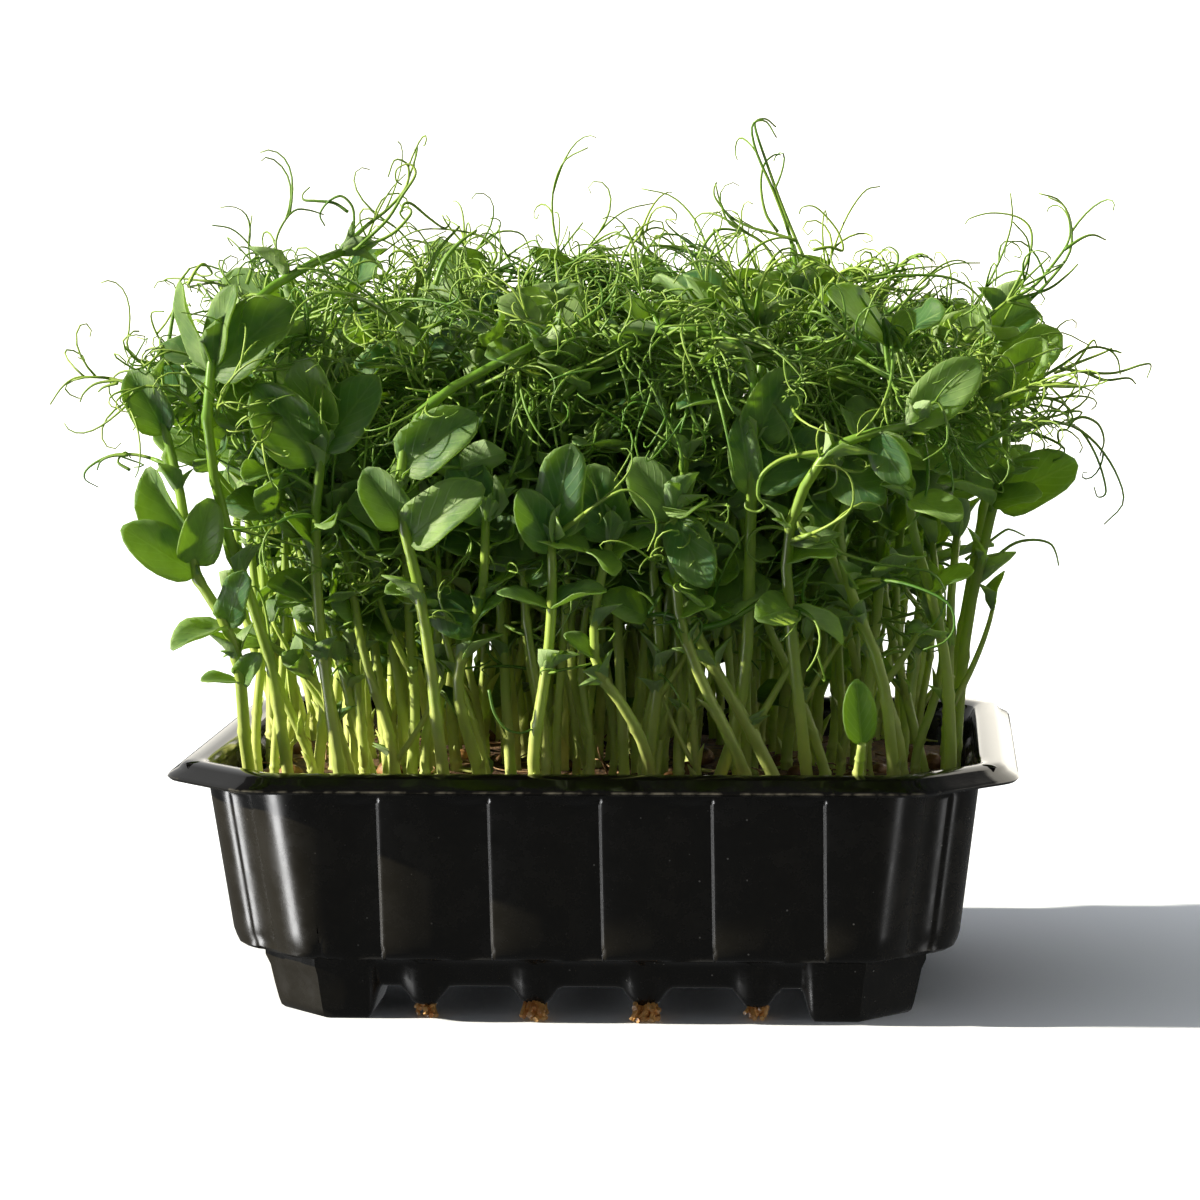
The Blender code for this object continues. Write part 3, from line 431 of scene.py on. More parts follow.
# camera, floor and light first, so that each draft can be looked at

camera = {"place": (0.0728, -0.8916, 0.1865), "yaw": 4.73, "pitch": -6.29, "roll": -0.5, "lens": 117.5,
          "sensor": 36.0, "near": 0.05, "far": 20.0, "picture": 1200}


def makeCamera():
    data = bpy.data.cameras.new("camera")
    data.lens = camera["lens"]
    data.sensor_width = camera["sensor"]
    data.clip_start = camera["near"]
    data.clip_end = camera["far"]
    yaw, pitch, roll = (math.radians(camera[key]) for key in ("yaw", "pitch", "roll"))
    ahead = Vector((-math.sin(yaw) * math.cos(pitch), math.cos(yaw) * math.cos(pitch), math.sin(pitch)))
    right = Vector((math.cos(yaw), math.sin(yaw), 0.0))
    up = right.cross(ahead)
    rolledRight = right * math.cos(roll) + up * math.sin(roll)
    rolledUp = up * math.cos(roll) - right * math.sin(roll)
    turned = Matrix((rolledRight, rolledUp, -ahead)).transposed().to_4x4()
    made = addObject("camera", data)
    made.matrix_world = Matrix.Translation(camera["place"]) @ turned
    bpy.context.scene.camera = made


studio = {"floorRadius": 1.7, "bend": 0.9, "bendSteps": 8, "wallHeight": 1.6, "sides": 96, "rough": 0.9,
          "specular": 0.1, "floor": (0.86, 0.90, 0.97), "wall": (0.97, 0.97, 0.96), "glow": 0.5,
          "fade": (0.055, 0.19), "squash": 0.72, "sunToward": (-0.90, -0.15, 0.42), "sunPower": 10.5,
          "sunAngle": 1.4, "sunColour": (1.0, 0.93, 0.77), "sky": (0.95, 0.98, 1.0), "skyPower": 0.15,
          "cardAim": 0.05}
cards = (  # place, width, height and power of each
    (-0.62, -0.26, -0.17, 0.22, 0.30, 5.5),
    (0.62, -0.30, -0.15, 0.08, 0.30, 0.4),
)


def studioRound(name, fill):
    pickNone()
    sides, radius = studio["sides"], studio["floorRadius"]
    bpy.ops.mesh.primitive_circle_add(vertices=sides, radius=radius, fill_type=fill)
    return rename(name)


def makeBackdrop():
    # a pale round floor, and a wall that curves up from its edge
    floor = studioRound("studioFloor", "TRIFAN")
    wall = studioRound("studioWall", "NOTHING")
    radius, bend = studio["floorRadius"], studio["bend"]
    rings = []
    for k in range(studio["bendSteps"]):
        turn = math.radians(90) * (k + 1) / studio["bendSteps"]
        rings.append((radius + bend * math.sin(turn), bend * (1 - math.cos(turn))))
    rings.append((radius + bend, bend + studio["wallHeight"]))
    now, level = radius, 0.0
    editMode()
    bpy.ops.mesh.select_all(action="SELECT")
    for radius, height in rings:
        bpy.ops.mesh.extrude_region_move(TRANSFORM_OT_translate={"value": (0, 0, height - level)})
        bpy.ops.transform.resize(value=(radius / now, radius / now, 1), center_override=(0, 0, height))
        now, level = radius, height
    objectMode()
    return floor, wall


def dressBackdrop(piece, colour):
    # it glows most at a distance from the tray, so that the tray still stands on a soft shadow
    pick(piece)
    bpy.ops.object.shade_smooth()
    material, tree, shader = newMaterial(piece.name)
    squash = addNode(tree, "ShaderNodeMapping",
                     {"Scale": (studio["squash"], 1.0, 1.0), "Vector": objectPlace(tree)})
    length = addNode(tree, "ShaderNodeVectorMath", {0: (squash, "Vector")}, operation="LENGTH")
    fade = addNode(tree, "ShaderNodeValToRGB", {"Fac": (length, "Value")})
    for stop, position, shade in zip(fade.color_ramp.elements, studio["fade"], ((0.0, 0.0, 0.0), colour)):
        stop.position = position
        stop.color = (*shade, 1)
    wire(fade, "Color", shader, "Emission Color")
    shader.inputs["Base Color"].default_value = (*colour, 1)
    shader.inputs["Roughness"].default_value = studio["rough"]
    shader.inputs["Specular IOR Level"].default_value = studio["specular"]
    shader.inputs["Emission Strength"].default_value = studio["glow"]
    piece.data.materials.append(material)
    piece.visible_shadow = False
    piece.visible_diffuse = False


def makeLamps():
    sun = bpy.data.lights.new("sun", "SUN")
    sun.energy = studio["sunPower"]
    sun.angle = math.radians(studio["sunAngle"])
    sun.color = studio["sunColour"]
    toward = Vector(studio["sunToward"])
    addObject("sun", sun).matrix_world = toward.to_track_quat("Z", "Y").to_matrix().to_4x4()
    # soft cards that only show as gloss
    for x, y, z, wide, high, power in cards:
        card = bpy.data.lights.new("card", "AREA")
        card.shape = "RECTANGLE"
        card.size, card.size_y, card.energy = wide, high, power
        lamp = addObject("card", card)
        aim = Vector((x, y, z)) - Vector((0, 0, studio["cardAim"]))
        lamp.matrix_world = Matrix.Translation((x, y, z)) @ aim.to_track_quat("Z", "Y").to_matrix().to_4x4()
        lamp.visible_camera = lamp.visible_diffuse = lamp.visible_transmission = False


def makeStudio():
    floor, wall = makeBackdrop()
    dressBackdrop(floor, studio["floor"])
    dressBackdrop(wall, studio["wall"])
    floor.visible_glossy = False
    makeLamps()
    world = bpy.data.worlds.new("studioSky")
    world.use_nodes = True
    bpy.context.scene.world = world
    backing = world.node_tree.nodes["Background"]
    backing.inputs["Color"].default_value = (*studio["sky"], 1)
    backing.inputs["Strength"].default_value = studio["skyPower"]
    bpy.context.scene.view_settings.view_transform = "Standard"
    bpy.context.scene.view_settings.look = "None"


makeCamera()
makeStudio()
print("camera, floor and light made")


# tray: one formed sheet, its rings extruded one from the other down the wall, then the moulded base

def flutePlaces(count):
    # places across the flutes of one side and the depth at each, with rounded edges
    half = trayShape["fluteHalf"]
    profile = [(-half - 3.4, 0.0), (-half - 1.7, 0.06), (-half + 0.2, 0.26), (-half + 2.0, 0.54), (-2.2, 0.8),
               (0.0, 0.95), (2.2, 1.0),
               (half - 1.2, 1.0), (half - 0.75, 0.92), (half - 0.4, 0.5), (half - 0.05, 0.08),
               (half + 0.35, 0.0)]
    places = []
    for k in range(count):
        centre = (k - (count - 1) / 2) * trayShape["flutePitch"]
        places += [(centre + x, depth, x / half) for x, depth in profile]
        if k < count - 1:
            places.append((centre + trayShape["flutePitch"] / 2, 0.0, 9.0))
    return places


def cornerPath(half, cut, signX, signY):
    # from the end on the short side, round the chamfer, to the end on the long side
    onY = Vector((signX * half[0], signY * (half[1] - cut)))
    onX = Vector((signX * (half[0] - cut), signY * half[1]))
    soft = min(trayShape["cornerSoftness"], cut * 0.4)
    along = (onX - onY).normalized()
    before = onY - Vector((0, signY * soft))
    after = onX - Vector((signX * soft, 0))
    path = []
    for k in range(5):
        t = k / 4
        path.append((before * (1 - t) ** 2 + onY * 2 * t * (1 - t) + (onY + along * soft) * t ** 2, 0.0))
    across = ((0.16, 0.0), (0.2, 0.5), (0.24, 1.0), (0.5, 1.0), (0.66, 1.0), (0.7, 0.5), (0.74, 0.0))
    for share, depth in across:
        path.append(((onY + along * soft).lerp(onX - along * soft, share), depth))
    for k in range(5):
        t = k / 4
        path.append(((onX - along * soft) * (1 - t) ** 2 + onX * 2 * t * (1 - t) + after * t ** 2, 0.0))
    return path


def domed(height, across):
    # how far a flute has reached its depth at this height; its top end is bowed
    if height > 53.0 or height < 15.5:
        return 0.0
    low = 52.0 - 2.4 * (1 - min(1.0, across * across))
    return clamped((52.4 - height) / max(0.3, 52.4 - low))


def wallRing(half, cuts, height, flutes=0.0):
    # counter-clockwise from the short left side, seen from above
    depth = trayShape["fluteDepth"] * flutes
    shift = trayShape["fluteShift"]
    ring = []

    def corner(cut, signX, signY, backwards):
        path = cornerPath(half, cut, signX, signY)
        inward = Vector((-signX, -signY)).normalized()
        path = [place + inward * (0.55 * depth * d) for place, d in path]
        ring.extend(reversed(path) if backwards else path)

    corner(cuts[0], -1, -1, False)
    ring.extend(Vector((x + shift, -half[1] + depth * d * domed(height, a))) for x, d, a in flutePlaces(5))
    corner(cuts[0], 1, -1, True)
    ring.extend(Vector((half[0] - depth * d * domed(height, a), y)) for y, d, a in flutePlaces(3))
    corner(cuts[1], 1, 1, False)
    ring.extend(Vector((-x, half[1] - depth * d * domed(height, a))) for x, d, a in flutePlaces(5))
    corner(cuts[1], -1, 1, True)
    ring.extend(Vector((-half[0] + depth * d * domed(height, a), -y)) for y, d, a in flutePlaces(3))
    return [(place.x, place.y, height) for place in ring]


def wallRings():
    s = trayShape
    rimTop = s["rimHeight"] - s["sheet"] / 2
    edge = (s["rimHalf"][0] - s["skirtOut"], s["rimHalf"][1] - s["skirtOut"])
    inner = (edge[0] - s["rimFlat"], edge[1] - s["rimFlat"])
    front, rear = s["rimCuts"]
    bottom = s["rimHeight"] - s["skirtDrop"]

    def grown(half, by):
        return (half[0] + by, half[1] + by)

    # ring by ring from the skirt's lower edge over the rim: outline, how far out, cuts less, height
    rims = ((s["rimHalf"], 0.05, 0, 0, bottom - 0.05), (s["rimHalf"], -0.35, 0, 0, bottom + 0.5),
            (edge, 1.1, 0.6, 0.6, rimTop - 1.5), (edge, 0.35, 0.8, 0.8, rimTop - 0.55),
            (edge, -0.5, 1.2, 1.0, rimTop - 0.08), (inner, 1.6, 2.4, 1.0, rimTop + 0.02),
            (inner, 0.3, 3, 1.0, rimTop - 0.05), (inner, -0.35, 3, 0, rimTop - 0.5),
            (s["wallTop"], 0.55, 3, -1.5, s["wallRound"]))
    rings = [wallRing(grown(half, by), (front - less, rear - rearLess), height)
             for half, by, less, rearLess, height in rims]
    rings.append(wallRing(grown(s["wallTop"], 0.25), s["wallCuts"], s["wallStart"]))
    top, foot = s["wallTop"], s["wallFoot"]
    high, low = s["wallSlope"]
    for height in s["wallLevels"]:
        share = (high - height) / (high - low)
        half = (top[0] + (foot[0] - top[0]) * share, top[1] + (foot[1] - top[1]) * share)
        rings.append(wallRing(half, s["wallCuts"], height, clamped((s["fluteEnd"] - height) / 2.5)))
    for by, cuts, height, flutes in s["footRings"]:
        rings.append(wallRing(grown(foot, by), cuts, height, flutes))
    rings.append(wallRing(*s["lastRing"]))
    return rings


def moulded(value, low, high):
    share = clamped((value - low) / (high - low))
    return share * share * (3 - 2 * share)


def baseRows():
    # rows of points over the base, from its rim at the ledge inwards, as a sheet of squares
    s = trayShape
    wall = [(0.0, 0.0), (0.05, 0.16), (0.3, 0.32), (0.52, 0.62), (0.72, 0.86), (0.84, 0.965), (1.0, 1.0)]
    outX, outY = s["ledgeHalf"]
    inX, inY = s["footFloor"]
    linesX = [outX + (inX - outX) * a for a, _ in wall] + [outX - s["footChamfer"], 55.0]
    linesY = [outY + (inY - outY) * a for a, _ in wall] + [outY - s["footChamfer"], 31.5]
    for k in range(6):
        linesX.append(s["footInner"][0] - s["footDraft"] * k / 5)
        linesY.append(s["footInner"][1] - s["footDraft"] * k / 5)
    linesX += [45.0 - 1.5 * k for k in range(30)]
    linesY += [18.5, 13.5, 8.5, 3.0]
    columns = [-x for x in linesX] + linesX[::-1]
    rows = [-y for y in linesY] + linesY[::-1]
    ringCount = len(wall)
    top = s["ledgeHeight"] - 0.3
    grid = []
    for j, y in enumerate(rows):
        row = []
        fromY = min(j, len(rows) - 1 - j)
        for i, x in enumerate(columns):
            fromX = min(i, len(columns) - 1 - i)
            ring = min(fromX, fromY)
            signX, signY = (-1 if x < 0 else 1), (-1 if y < 0 else 1)
            px, py = x, y
            if ring < ringCount and fromX <= ringCount and fromY <= ringCount:
                half = (linesX[ring], linesY[ring])
                cut = s["footChamfer"] - 2.2 * wall[ring][0]
                onX = Vector((signX * (half[0] - cut), signY * half[1]))
                onY = Vector((signX * half[0], signY * (half[1] - cut)))
                end = onX if fromX >= fromY else onY
                step = ((fromX if fromX >= fromY else fromY) - ring) / (ringCount - ring)
                px, py = (onX + onY) / 2 + (end - (onX + onY) / 2) * step
            inFoot = min(moulded(abs(px), s["footInner"][0] - s["footDraft"], s["footInner"][0]),
                         moulded(abs(py), s["footInner"][1] - s["footDraft"], s["footInner"][1]))
            nearest = min(s["valleyCentres"], key=lambda centre: abs(abs(px) - centre))
            off = abs(abs(px) - nearest)
            low = s["valley"] + (s["ridge"] - s["valley"]) * moulded(off, 1.6, 5.6)
            plain = low + s["sheet"] / 2
            floor = plain + (s["sheet"] / 2 - plain) * inFoot
            drop = wall[ring][1] if ring < ringCount else 1.0
            height = top + (floor - top) * drop
            if ring < ringCount and inFoot < 0.99 and 0 < ring:
                # between the feet the side stands back, and bulges in a dome over each valley
                bulge = max(0.0, 1 - (off / 4.6) ** 2) * moulded(13.0 - height, 0.0, 3.0)
                bulge *= 1 if fromY == ring else 0
                inset = 1.5 * (1 - inFoot) - s["bumpDepth"] * bulge
                if fromY == ring and abs(px) < s["footInner"][0]:
                    py -= signY * inset
                if fromX == ring and abs(py) < s["footInner"][1]:
                    px -= signX * 1.5 * (1 - inFoot)
            row.append((px, py, height))
        grid.append(row)
    return grid


def makeTray():
    rings = wallRings()
    tray = ringTube("traySheet", rings, "NOTHING", -0.01)
    rows = baseRows()
    wide, deep = len(rows[0]), len(rows)
    pickNone()
    bpy.ops.mesh.primitive_grid_add(x_subdivisions=wide - 1, y_subdivisions=deep - 1, size=1)
    base = rename("trayBase")
    order = sorted(base.data.vertices, key=lambda vert: (round(vert.co.y, 5), vert.co.x))
    for vert, place in zip(order, [place for row in rows for place in row]):
        vert.co = Vector(place) * mm
    # drain holes in the valleys, near the front and the rear edge
    editMode()
    bpy.ops.mesh.select_mode(type="FACE")
    bpy.ops.mesh.select_all(action="DESELECT")
    objectMode()
    for face in base.data.polygons:
        x, y = face.center.x / mm, abs(face.center.y) / mm
        off = min(abs(abs(x) - centre) for centre in trayShape["valleyCentres"])
        face.select = off < trayShape["drainHalf"] and trayShape["drainFrom"] < y < trayShape["drainTo"]
    editMode()
    bpy.ops.mesh.delete(type="FACE")
    objectMode()

    tray = joined("traySheet", [tray, base])
    # the open rim of the base is bridged to the last ring of the wall
    rim = rings[-1] + rows[0] + rows[-1] + [row[0] for row in rows] + [row[-1] for row in rows]
    rim = {tuple(round(v * mm, 6) for v in place) for place in rim}
    selectVerts(tray, lambda place: tuple(round(v, 6) for v in place) in rim)
    bpy.ops.mesh.select_mode(type="EDGE")
    objectMode()
    outer = [edge.select for edge in tray.data.edges]
    faces = np.zeros(len(tray.data.edges), int)
    for loop in tray.data.loops:
        faces[loop.edge_index] += 1
    for edge in tray.data.edges:
        edge.select = bool(outer[edge.index] and faces[edge.index] == 1)
    editMode()
    bpy.ops.mesh.bridge_edge_loops()
    bpy.ops.mesh.select_all(action="SELECT")
    bpy.ops.mesh.remove_doubles(threshold=0.00002)
    bpy.ops.mesh.normals_make_consistent(inside=False)
    objectMode()
    applyModifier(tray, "SOLIDIFY", thickness=trayShape["sheet"] * mm, offset=0.0)
    tray.data.materials.append(trayPlastic)
    smoothed(tray, 38)
    return tray


rimLug = {"places": ((-87.6, -46.4, 40), (87.2, -46.8, -40)), "size": (2.1, 1.1, 0.5), "height": 56.75}


def makeLugs():
    # the dark ovals on the rim's front chamfers, as low bosses
    lugs = []
    for x, y, turn in rimLug["places"]:
        pickNone()
        place = (x * mm, y * mm, rimLug["height"] * mm)
        bpy.ops.mesh.primitive_uv_sphere_add(segments=20, ring_count=10, radius=mm, location=place,
                                             rotation=(0, 0, math.radians(turn)), scale=rimLug["size"])
        lug = rename("rimLug")
        selectVerts(lug, lambda place: place.z < -0.3 * mm)
        bpy.ops.mesh.delete(type="VERT")
        bpy.ops.mesh.select_all(action="SELECT")
        bpy.ops.mesh.region_to_loop()
        bpy.ops.mesh.edge_face_add()
        objectMode()
        placed(lug)
        lug.data.materials.append(trayPlastic)
        bpy.ops.object.shade_smooth()
        lugs.append(lug)
    return lugs


tray = joined("traySheet", [makeTray(), *makeLugs()])
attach(tray, "root")
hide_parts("tray")
print("tray made:", len(tray.data.polygons), "faces")


# layout of the shoots: the same stems, leaves and tendrils as the solids have, in millimetres

layout = {"stemSteps": 5, "stemRadius": (1.75, 1.0), "vineRadius": 0.52, "leafLength": (17.0, 23.0),
          "leafWidth": 0.68, "leafSink": 0.1, "curlSteps": 5, "reachX": 118.0, "reachY": 71.0,
          "overTray": (82, 58), "topHeight": 197.5, "matTop": 49.0, "columns": 6, "rows": 4,
          "clearance": 0.35, "seed": 41, "height": (128, 157), "fall": 0.0016, "columnSpan": (-70, 140),
          "rowSpan": (-30, 78), "jitter": (-3, 3), "footGap": 8}
frontward = (-0.1, -1.0, 0.25)
upward = (-0.2, -0.5, 0.9)
drawnShoots = [
    {"stem": [(-67, -40, 49), (-68, -46, 66), (-70, -51, 84), (-76, -55, 104), (-80, -58, 124),
              (-80, -60, 142), (-75, -56, 155), (-62, -48, 165), (-53, -41, 169)],
     "leaves": [((-77, -60, 142), (-61, -62, 160), 15, frontward),
                ((-80, -61, 146), (-74, -65, 164), 9, (-0.8, -1, 0.2)),
                ((-83, -58, 145), (-89, -56, 164), 9, (-1, -0.6, 0))],
     "tendrils": [[(-54, -42, 169), (-48, -36, 175), (-42, -34, 180), (-39, -34, 186), (-42, -34, 189),
                   (-44, -34, 185)],
                  [(-64, -49, 163), (-67, -47, 171), (-63, -45, 178), (-57, -43, 177)]]},
    {"stem": [(-77, -33, 49), (-76, -47, 64), (-75, -55, 76), (-77, -58, 88), (-84, -58, 100),
              (-87, -56, 115), (-90, -53, 127), (-93, -51, 136)],
     "leaves": [((-85, -59, 99), (-99, -66, 112), 12, (0.1, -1, 0.6)),
                ((-87, -56, 106), (-95, -61, 124), 11, (-0.5, -1, 0.2)),
                ((-84, -59, 102), (-79, -65, 117), 10, (0.3, -1, 0.3)),
                ((-76, -60, 89), (-89, -67, 86), 9, upward),
                ((-75, -59, 90), (-72, -66, 102), 8, frontward),
                ((-75, -57, 75), (-83, -62, 78), 7, upward), ((-74, -56, 76), (-70, -62, 83), 6, frontward),
                ((-91, -53, 130), (-99, -54, 145), 10, frontward)],
     "tendrils": [[(-94, -51, 137), (-101, -47, 141), (-109, -45, 142), (-114, -45, 141), (-118, -45, 136)],
                  [(-88, -54, 122), (-96, -51, 125), (-104, -50, 125), (-110, -50, 121),
                   (-107, -48, 118)]]},
    {"stem": [(-31, -48, 49), (-32, -54, 64), (-33, -58, 80), (-35, -61, 97), (-38, -63, 112),
              (-38, -64, 125), (-33, -64, 136), (-22, -61, 143), (-8, -57, 150)],
     "leaves": [((-37, -65, 123), (-21, -69, 136), 13, frontward),
                ((-37, -66, 107), (-20, -70, 121), 12, (0.2, -1, 0.5)),
                ((-39, -65, 110), (-46, -67, 124), 10, frontward)],
     "tendrils": [[(-9, -58, 149), (0, -58, 154), (7, -57, 160), (8, -56, 168), (2, -56, 170)]]},
    {"stem": [(-11, -51, 49), (-11, -57, 61), (-9, -60, 72), (-7, -62, 84), (-6, -63, 97), (-6, -64, 108)],
     "leaves": [((-6, -65, 108), (-1, -69, 130), 12, frontward),
                ((-7, -65, 105), (-12, -70, 120), 10, (0.3, -1, 0.1)),
                ((-6, -64, 93), (-18, -67, 98), 6, upward), ((-6, -64, 93), (6, -67, 99), 6, upward)],
     "tendrils": [[(-5, -64, 108), (3, -68, 115), (11, -70, 119), (17, -70, 113), (15, -70, 106)]]},
    {"stem": [(-54, -48, 49), (-56, -51, 68), (-58, -53, 90), (-58, -55, 112), (-56, -56, 128),
              (-54, -55, 142)],
     "leaves": [((-58, -57, 124), (-71, -61, 142), 15, frontward),
                ((-56, -57, 129), (-60, -62, 148), 13, (-0.3, -1, 0)),
                ((-54, -57, 126), (-43, -61, 144), 13, frontward),
                ((-57, -55, 106), (-64, -59, 114), 8, upward)],
     "tendrils": [[(-54, -55, 141), (-56, -52, 153), (-52, -50, 164), (-45, -49, 167), (-42, -49, 161)]]},
    {"stem": [(-23, -42, 49), (-26, -47, 62), (-28, -51, 74), (-26, -53, 84), (-22, -54, 96),
              (-21, -55, 112)],
     "leaves": [((-25, -55, 88), (-17, -59, 96), 7, upward), ((-26, -54, 92), (-40, -50, 93), 8, upward),
                ((-21, -56, 110), (-27, -58, 127), 12, frontward)],
     "tendrils": [[(-21, -55, 111), (-15, -53, 122), (-11, -51, 134), (-4, -51, 138), (-3, -52, 131)]]},
    {"stem": [(14, -46, 49), (13, -51, 60), (9, -55, 70), (3, -58, 80), (3, -58, 93), (6, -57, 107)],
     "leaves": [((5, -59, 104), (16, -62, 109), 10, upward), ((5, -59, 107), (2, -62, 125), 13, frontward),
                ((3, -58, 82), (-4, -60, 88), 6, upward)],
     "tendrils": [[(6, -57, 106), (12, -56, 119), (19, -56, 131), (26, -57, 134), (26, -58, 127)]]},
    {"stem": [(36, -45, 49), (32, -52, 62), (26, -55, 75), (21, -57, 90), (20, -60, 104), (20, -60, 114)],
     "leaves": [((21, -62, 113), (28, -67, 97), 11, frontward),
                ((20, -61, 112), (11, -64, 126), 11, frontward), ((21, -57, 91), (29, -60, 95), 7, upward)],
     "tendrils": [[(20, -60, 113), (22, -60, 124), (18, -60, 134), (11, -60, 137), (9, -61, 131)]]},
    {"stem": [(27, -38, 49), (32, -44, 64), (35, -49, 83), (36, -55, 108), (37, -58, 132), (36, -58, 146),
              (28, -56, 152), (16, -54, 152)],
     "leaves": [((36, -59, 116), (34, -62, 135), 8, frontward),
                ((38, -57, 118), (53, -58, 131), 13, frontward),
                ((37, -58, 128), (46, -60, 145), 12, (0.2, -1, 0.2))],
     "tendrils": [[(17, -54, 152), (13, -48, 160), (10, -45, 169), (16, -44, 174), (20, -44, 169)]]},
    {"stem": [(48, -41, 49), (47, -46, 62), (45, -52, 84), (44, -59, 106), (49, -65, 121), (57, -67, 129),
              (70, -65, 132)],
     "leaves": [((70, -65, 132), (86, -63, 147), 12, frontward),
                ((63, -67, 130), (70, -69, 119), 9, (-0.2, -1, -0.3)),
                ((45, -60, 102), (55, -63, 106), 8, upward)],
     "tendrils": [[(44, -60, 107), (51, -66, 110), (58, -69, 115), (57, -70, 123), (50, -70, 124)],
                  [(69, -65, 132), (76, -66, 137), (78, -68, 129), (73, -69, 125)]]},
    {"stem": [(58, -51, 49), (59, -55, 56), (60, -62, 64)],
     "leaves": [((60, -62, 63), (59, -67, 79), 8, (0.1, -1, 0.3))], "tendrils": []},
    {"stem": [(67, -41, 49), (66, -46, 62), (64, -50, 78), (58, -52, 94), (55, -52, 108), (58, -52, 118)],
     "leaves": [((58, -53, 115), (65, -56, 129), 11, frontward),
                ((55, -53, 105), (47, -55, 116), 9, upward)],
     "tendrils": [[(57, -53, 97), (66, -62, 99), (78, -68, 95), (79, -69, 88), (73, -69, 85)]]},
    {"stem": [(79, -33, 49), (79, -36, 62), (78, -40, 78), (75, -45, 93), (71, -52, 108), (70, -58, 117)],
     "leaves": [((70, -59, 115), (82, -66, 113), 10, (0, -0.6, 1)),
                ((75, -47, 95), (84, -52, 101), 9, upward), ((77, -43, 84), (70, -50, 88), 7, upward)],
     "tendrils": []},
    {"stem": [(80, -15, 49), (81, -19, 66), (83, -24, 86), (87, -29, 106), (91, -32, 124), (91, -33, 138)],
     "leaves": [((90, -33, 112), (107, -36, 123), 13, frontward),
                ((92, -35, 134), (99, -39, 150), 12, frontward),
                ((88, -32, 116), (82, -40, 130), 12, frontward)],
     "tendrils": [[(92, -31, 127), (100, -26, 130), (108, -22, 128), (114, -20, 121), (117.5, -20, 113),
                   (113, -20, 107)],
                  [(84, -25, 95), (93, -23, 103), (101, -22, 103), (103, -22, 98)]]},
    {"stem": [(78, 6, 49), (80, 4, 68), (84, 2, 92), (88, 1, 116), (90, 0, 136), (91, 0, 152)],
     "leaves": [((91, -1, 138), (104, -6, 150), 13, frontward),
                ((90, 0, 140), (82, 6, 156), 12, (-0.3, -0.6, 0.6)),
                ((87, 1, 112), (98, 2, 122), 11, frontward)],
     "tendrils": [[(91, 0, 151), (99, 0, 158), (106, 0, 167), (105, 0, 177), (99, 0, 180)],
                  [(90, 0, 134), (101, 2, 139), (110, 2, 145), (116, 2, 144), (117.5, 2, 139)]]},
    {"stem": [(40, 6, 49), (42, 5, 75), (44, 3, 104), (45, 1, 132), (45, 0, 158)],
     "leaves": [((45, 1, 150), (57, -4, 163), 13, upward), ((45, 0, 152), (34, -6, 162), 13, upward)],
     "tendrils": [[(45, 0, 157), (43, 0, 171), (38, 0, 184), (34, 0, 194), (37, 0, 197), (40, 0, 193)],
                  [(45, 1, 155), (37, 1, 169), (29, 1, 174), (26, 1, 183)]]},
]


def fromPicture(spot, depth):
    # the place at this depth that shows at a spot of the picture, in millimetres
    lens = bpy.context.scene.camera
    perPixel = lens.data.sensor_width / lens.data.lens / camera["picture"]
    middle = camera["picture"] / 2
    turned = lens.matrix_world
    ray = turned.to_3x3() @ Vector(((spot[0] - middle) * perPixel, (middle - spot[1]) * perPixel, -1.0))
    start = turned.translation / mm
    return start + ray * ((depth - start.y) / ray.y)


def smoothPath(points, count):
    # points of even share along a smooth curve through the given ones
    places = [Vector(p) for p in points]
    ends = [places[0] * 2 - places[1], *places, places[-1] * 2 - places[-2]]
    path = []
    for k in range(count + 1):
        at = k / count * (len(places) - 1)
        span = min(int(at), len(places) - 2)
        t = at - span
        a, b, c, d = ends[span:span + 4]
        path.append(0.5 * (2 * b + (c - a) * t + (2 * a - 5 * b + 4 * c - d) * t ** 2
                           + (3 * b - a - 3 * c + d) * t ** 3))
    return path


def pointAt(path, share):
    at = share * (len(path) - 1)
    low = min(int(at), len(path) - 2)
    return path[low].lerp(path[low + 1], at - low)


def scatter(rng, *limits):
    # a vector with each part drawn between its own two limits
    return Vector([rng.uniform(*pair) for pair in limits])


def leafBetween(base, tip, width, facing):
    base, tip = Vector(base), Vector(tip)
    along = tip - base
    length = along.length
    along.normalize()
    normal = Vector(facing) - along * Vector(facing).dot(along)
    normal.normalize()
    across = along.cross(normal)
    turned = Matrix((across, along, normal)).transposed().to_4x4()
    turned.translation = base
    return {"frame": turned, "length": length, "width": width, "base": base, "tip": tip, "across": across,
            "along": along, "normal": normal}


def shrunk(leaf, share):
    return leafBetween(leaf["base"], leaf["base"].lerp(leaf["tip"], share), leaf["width"] * share,
                       leaf["normal"])


def leafCover(leaf):
    balls = []
    for across, along in ((0, 0.1), (-0.28, 0.36), (0.28, 0.36), (0, 0.5), (-0.24, 0.7), (0.24, 0.7),
                          (0, 0.93)):
        place = leaf["base"] + leaf["along"] * (along * leaf["length"])
        place = place + leaf["across"] * (across * leaf["width"])
        balls.append((*place, 0.155 * leaf["length"] + layout["clearance"]))
    return balls


def tubeCover(points, radius):
    balls = []
    for a, b in zip(points, points[1:]):
        steps = max(1, int((b - a).length / 2.5))
        for k in range(steps):
            balls.append((*a.lerp(b, (k + 0.5) / steps), radius + layout["clearance"] + 0.6))
    return balls


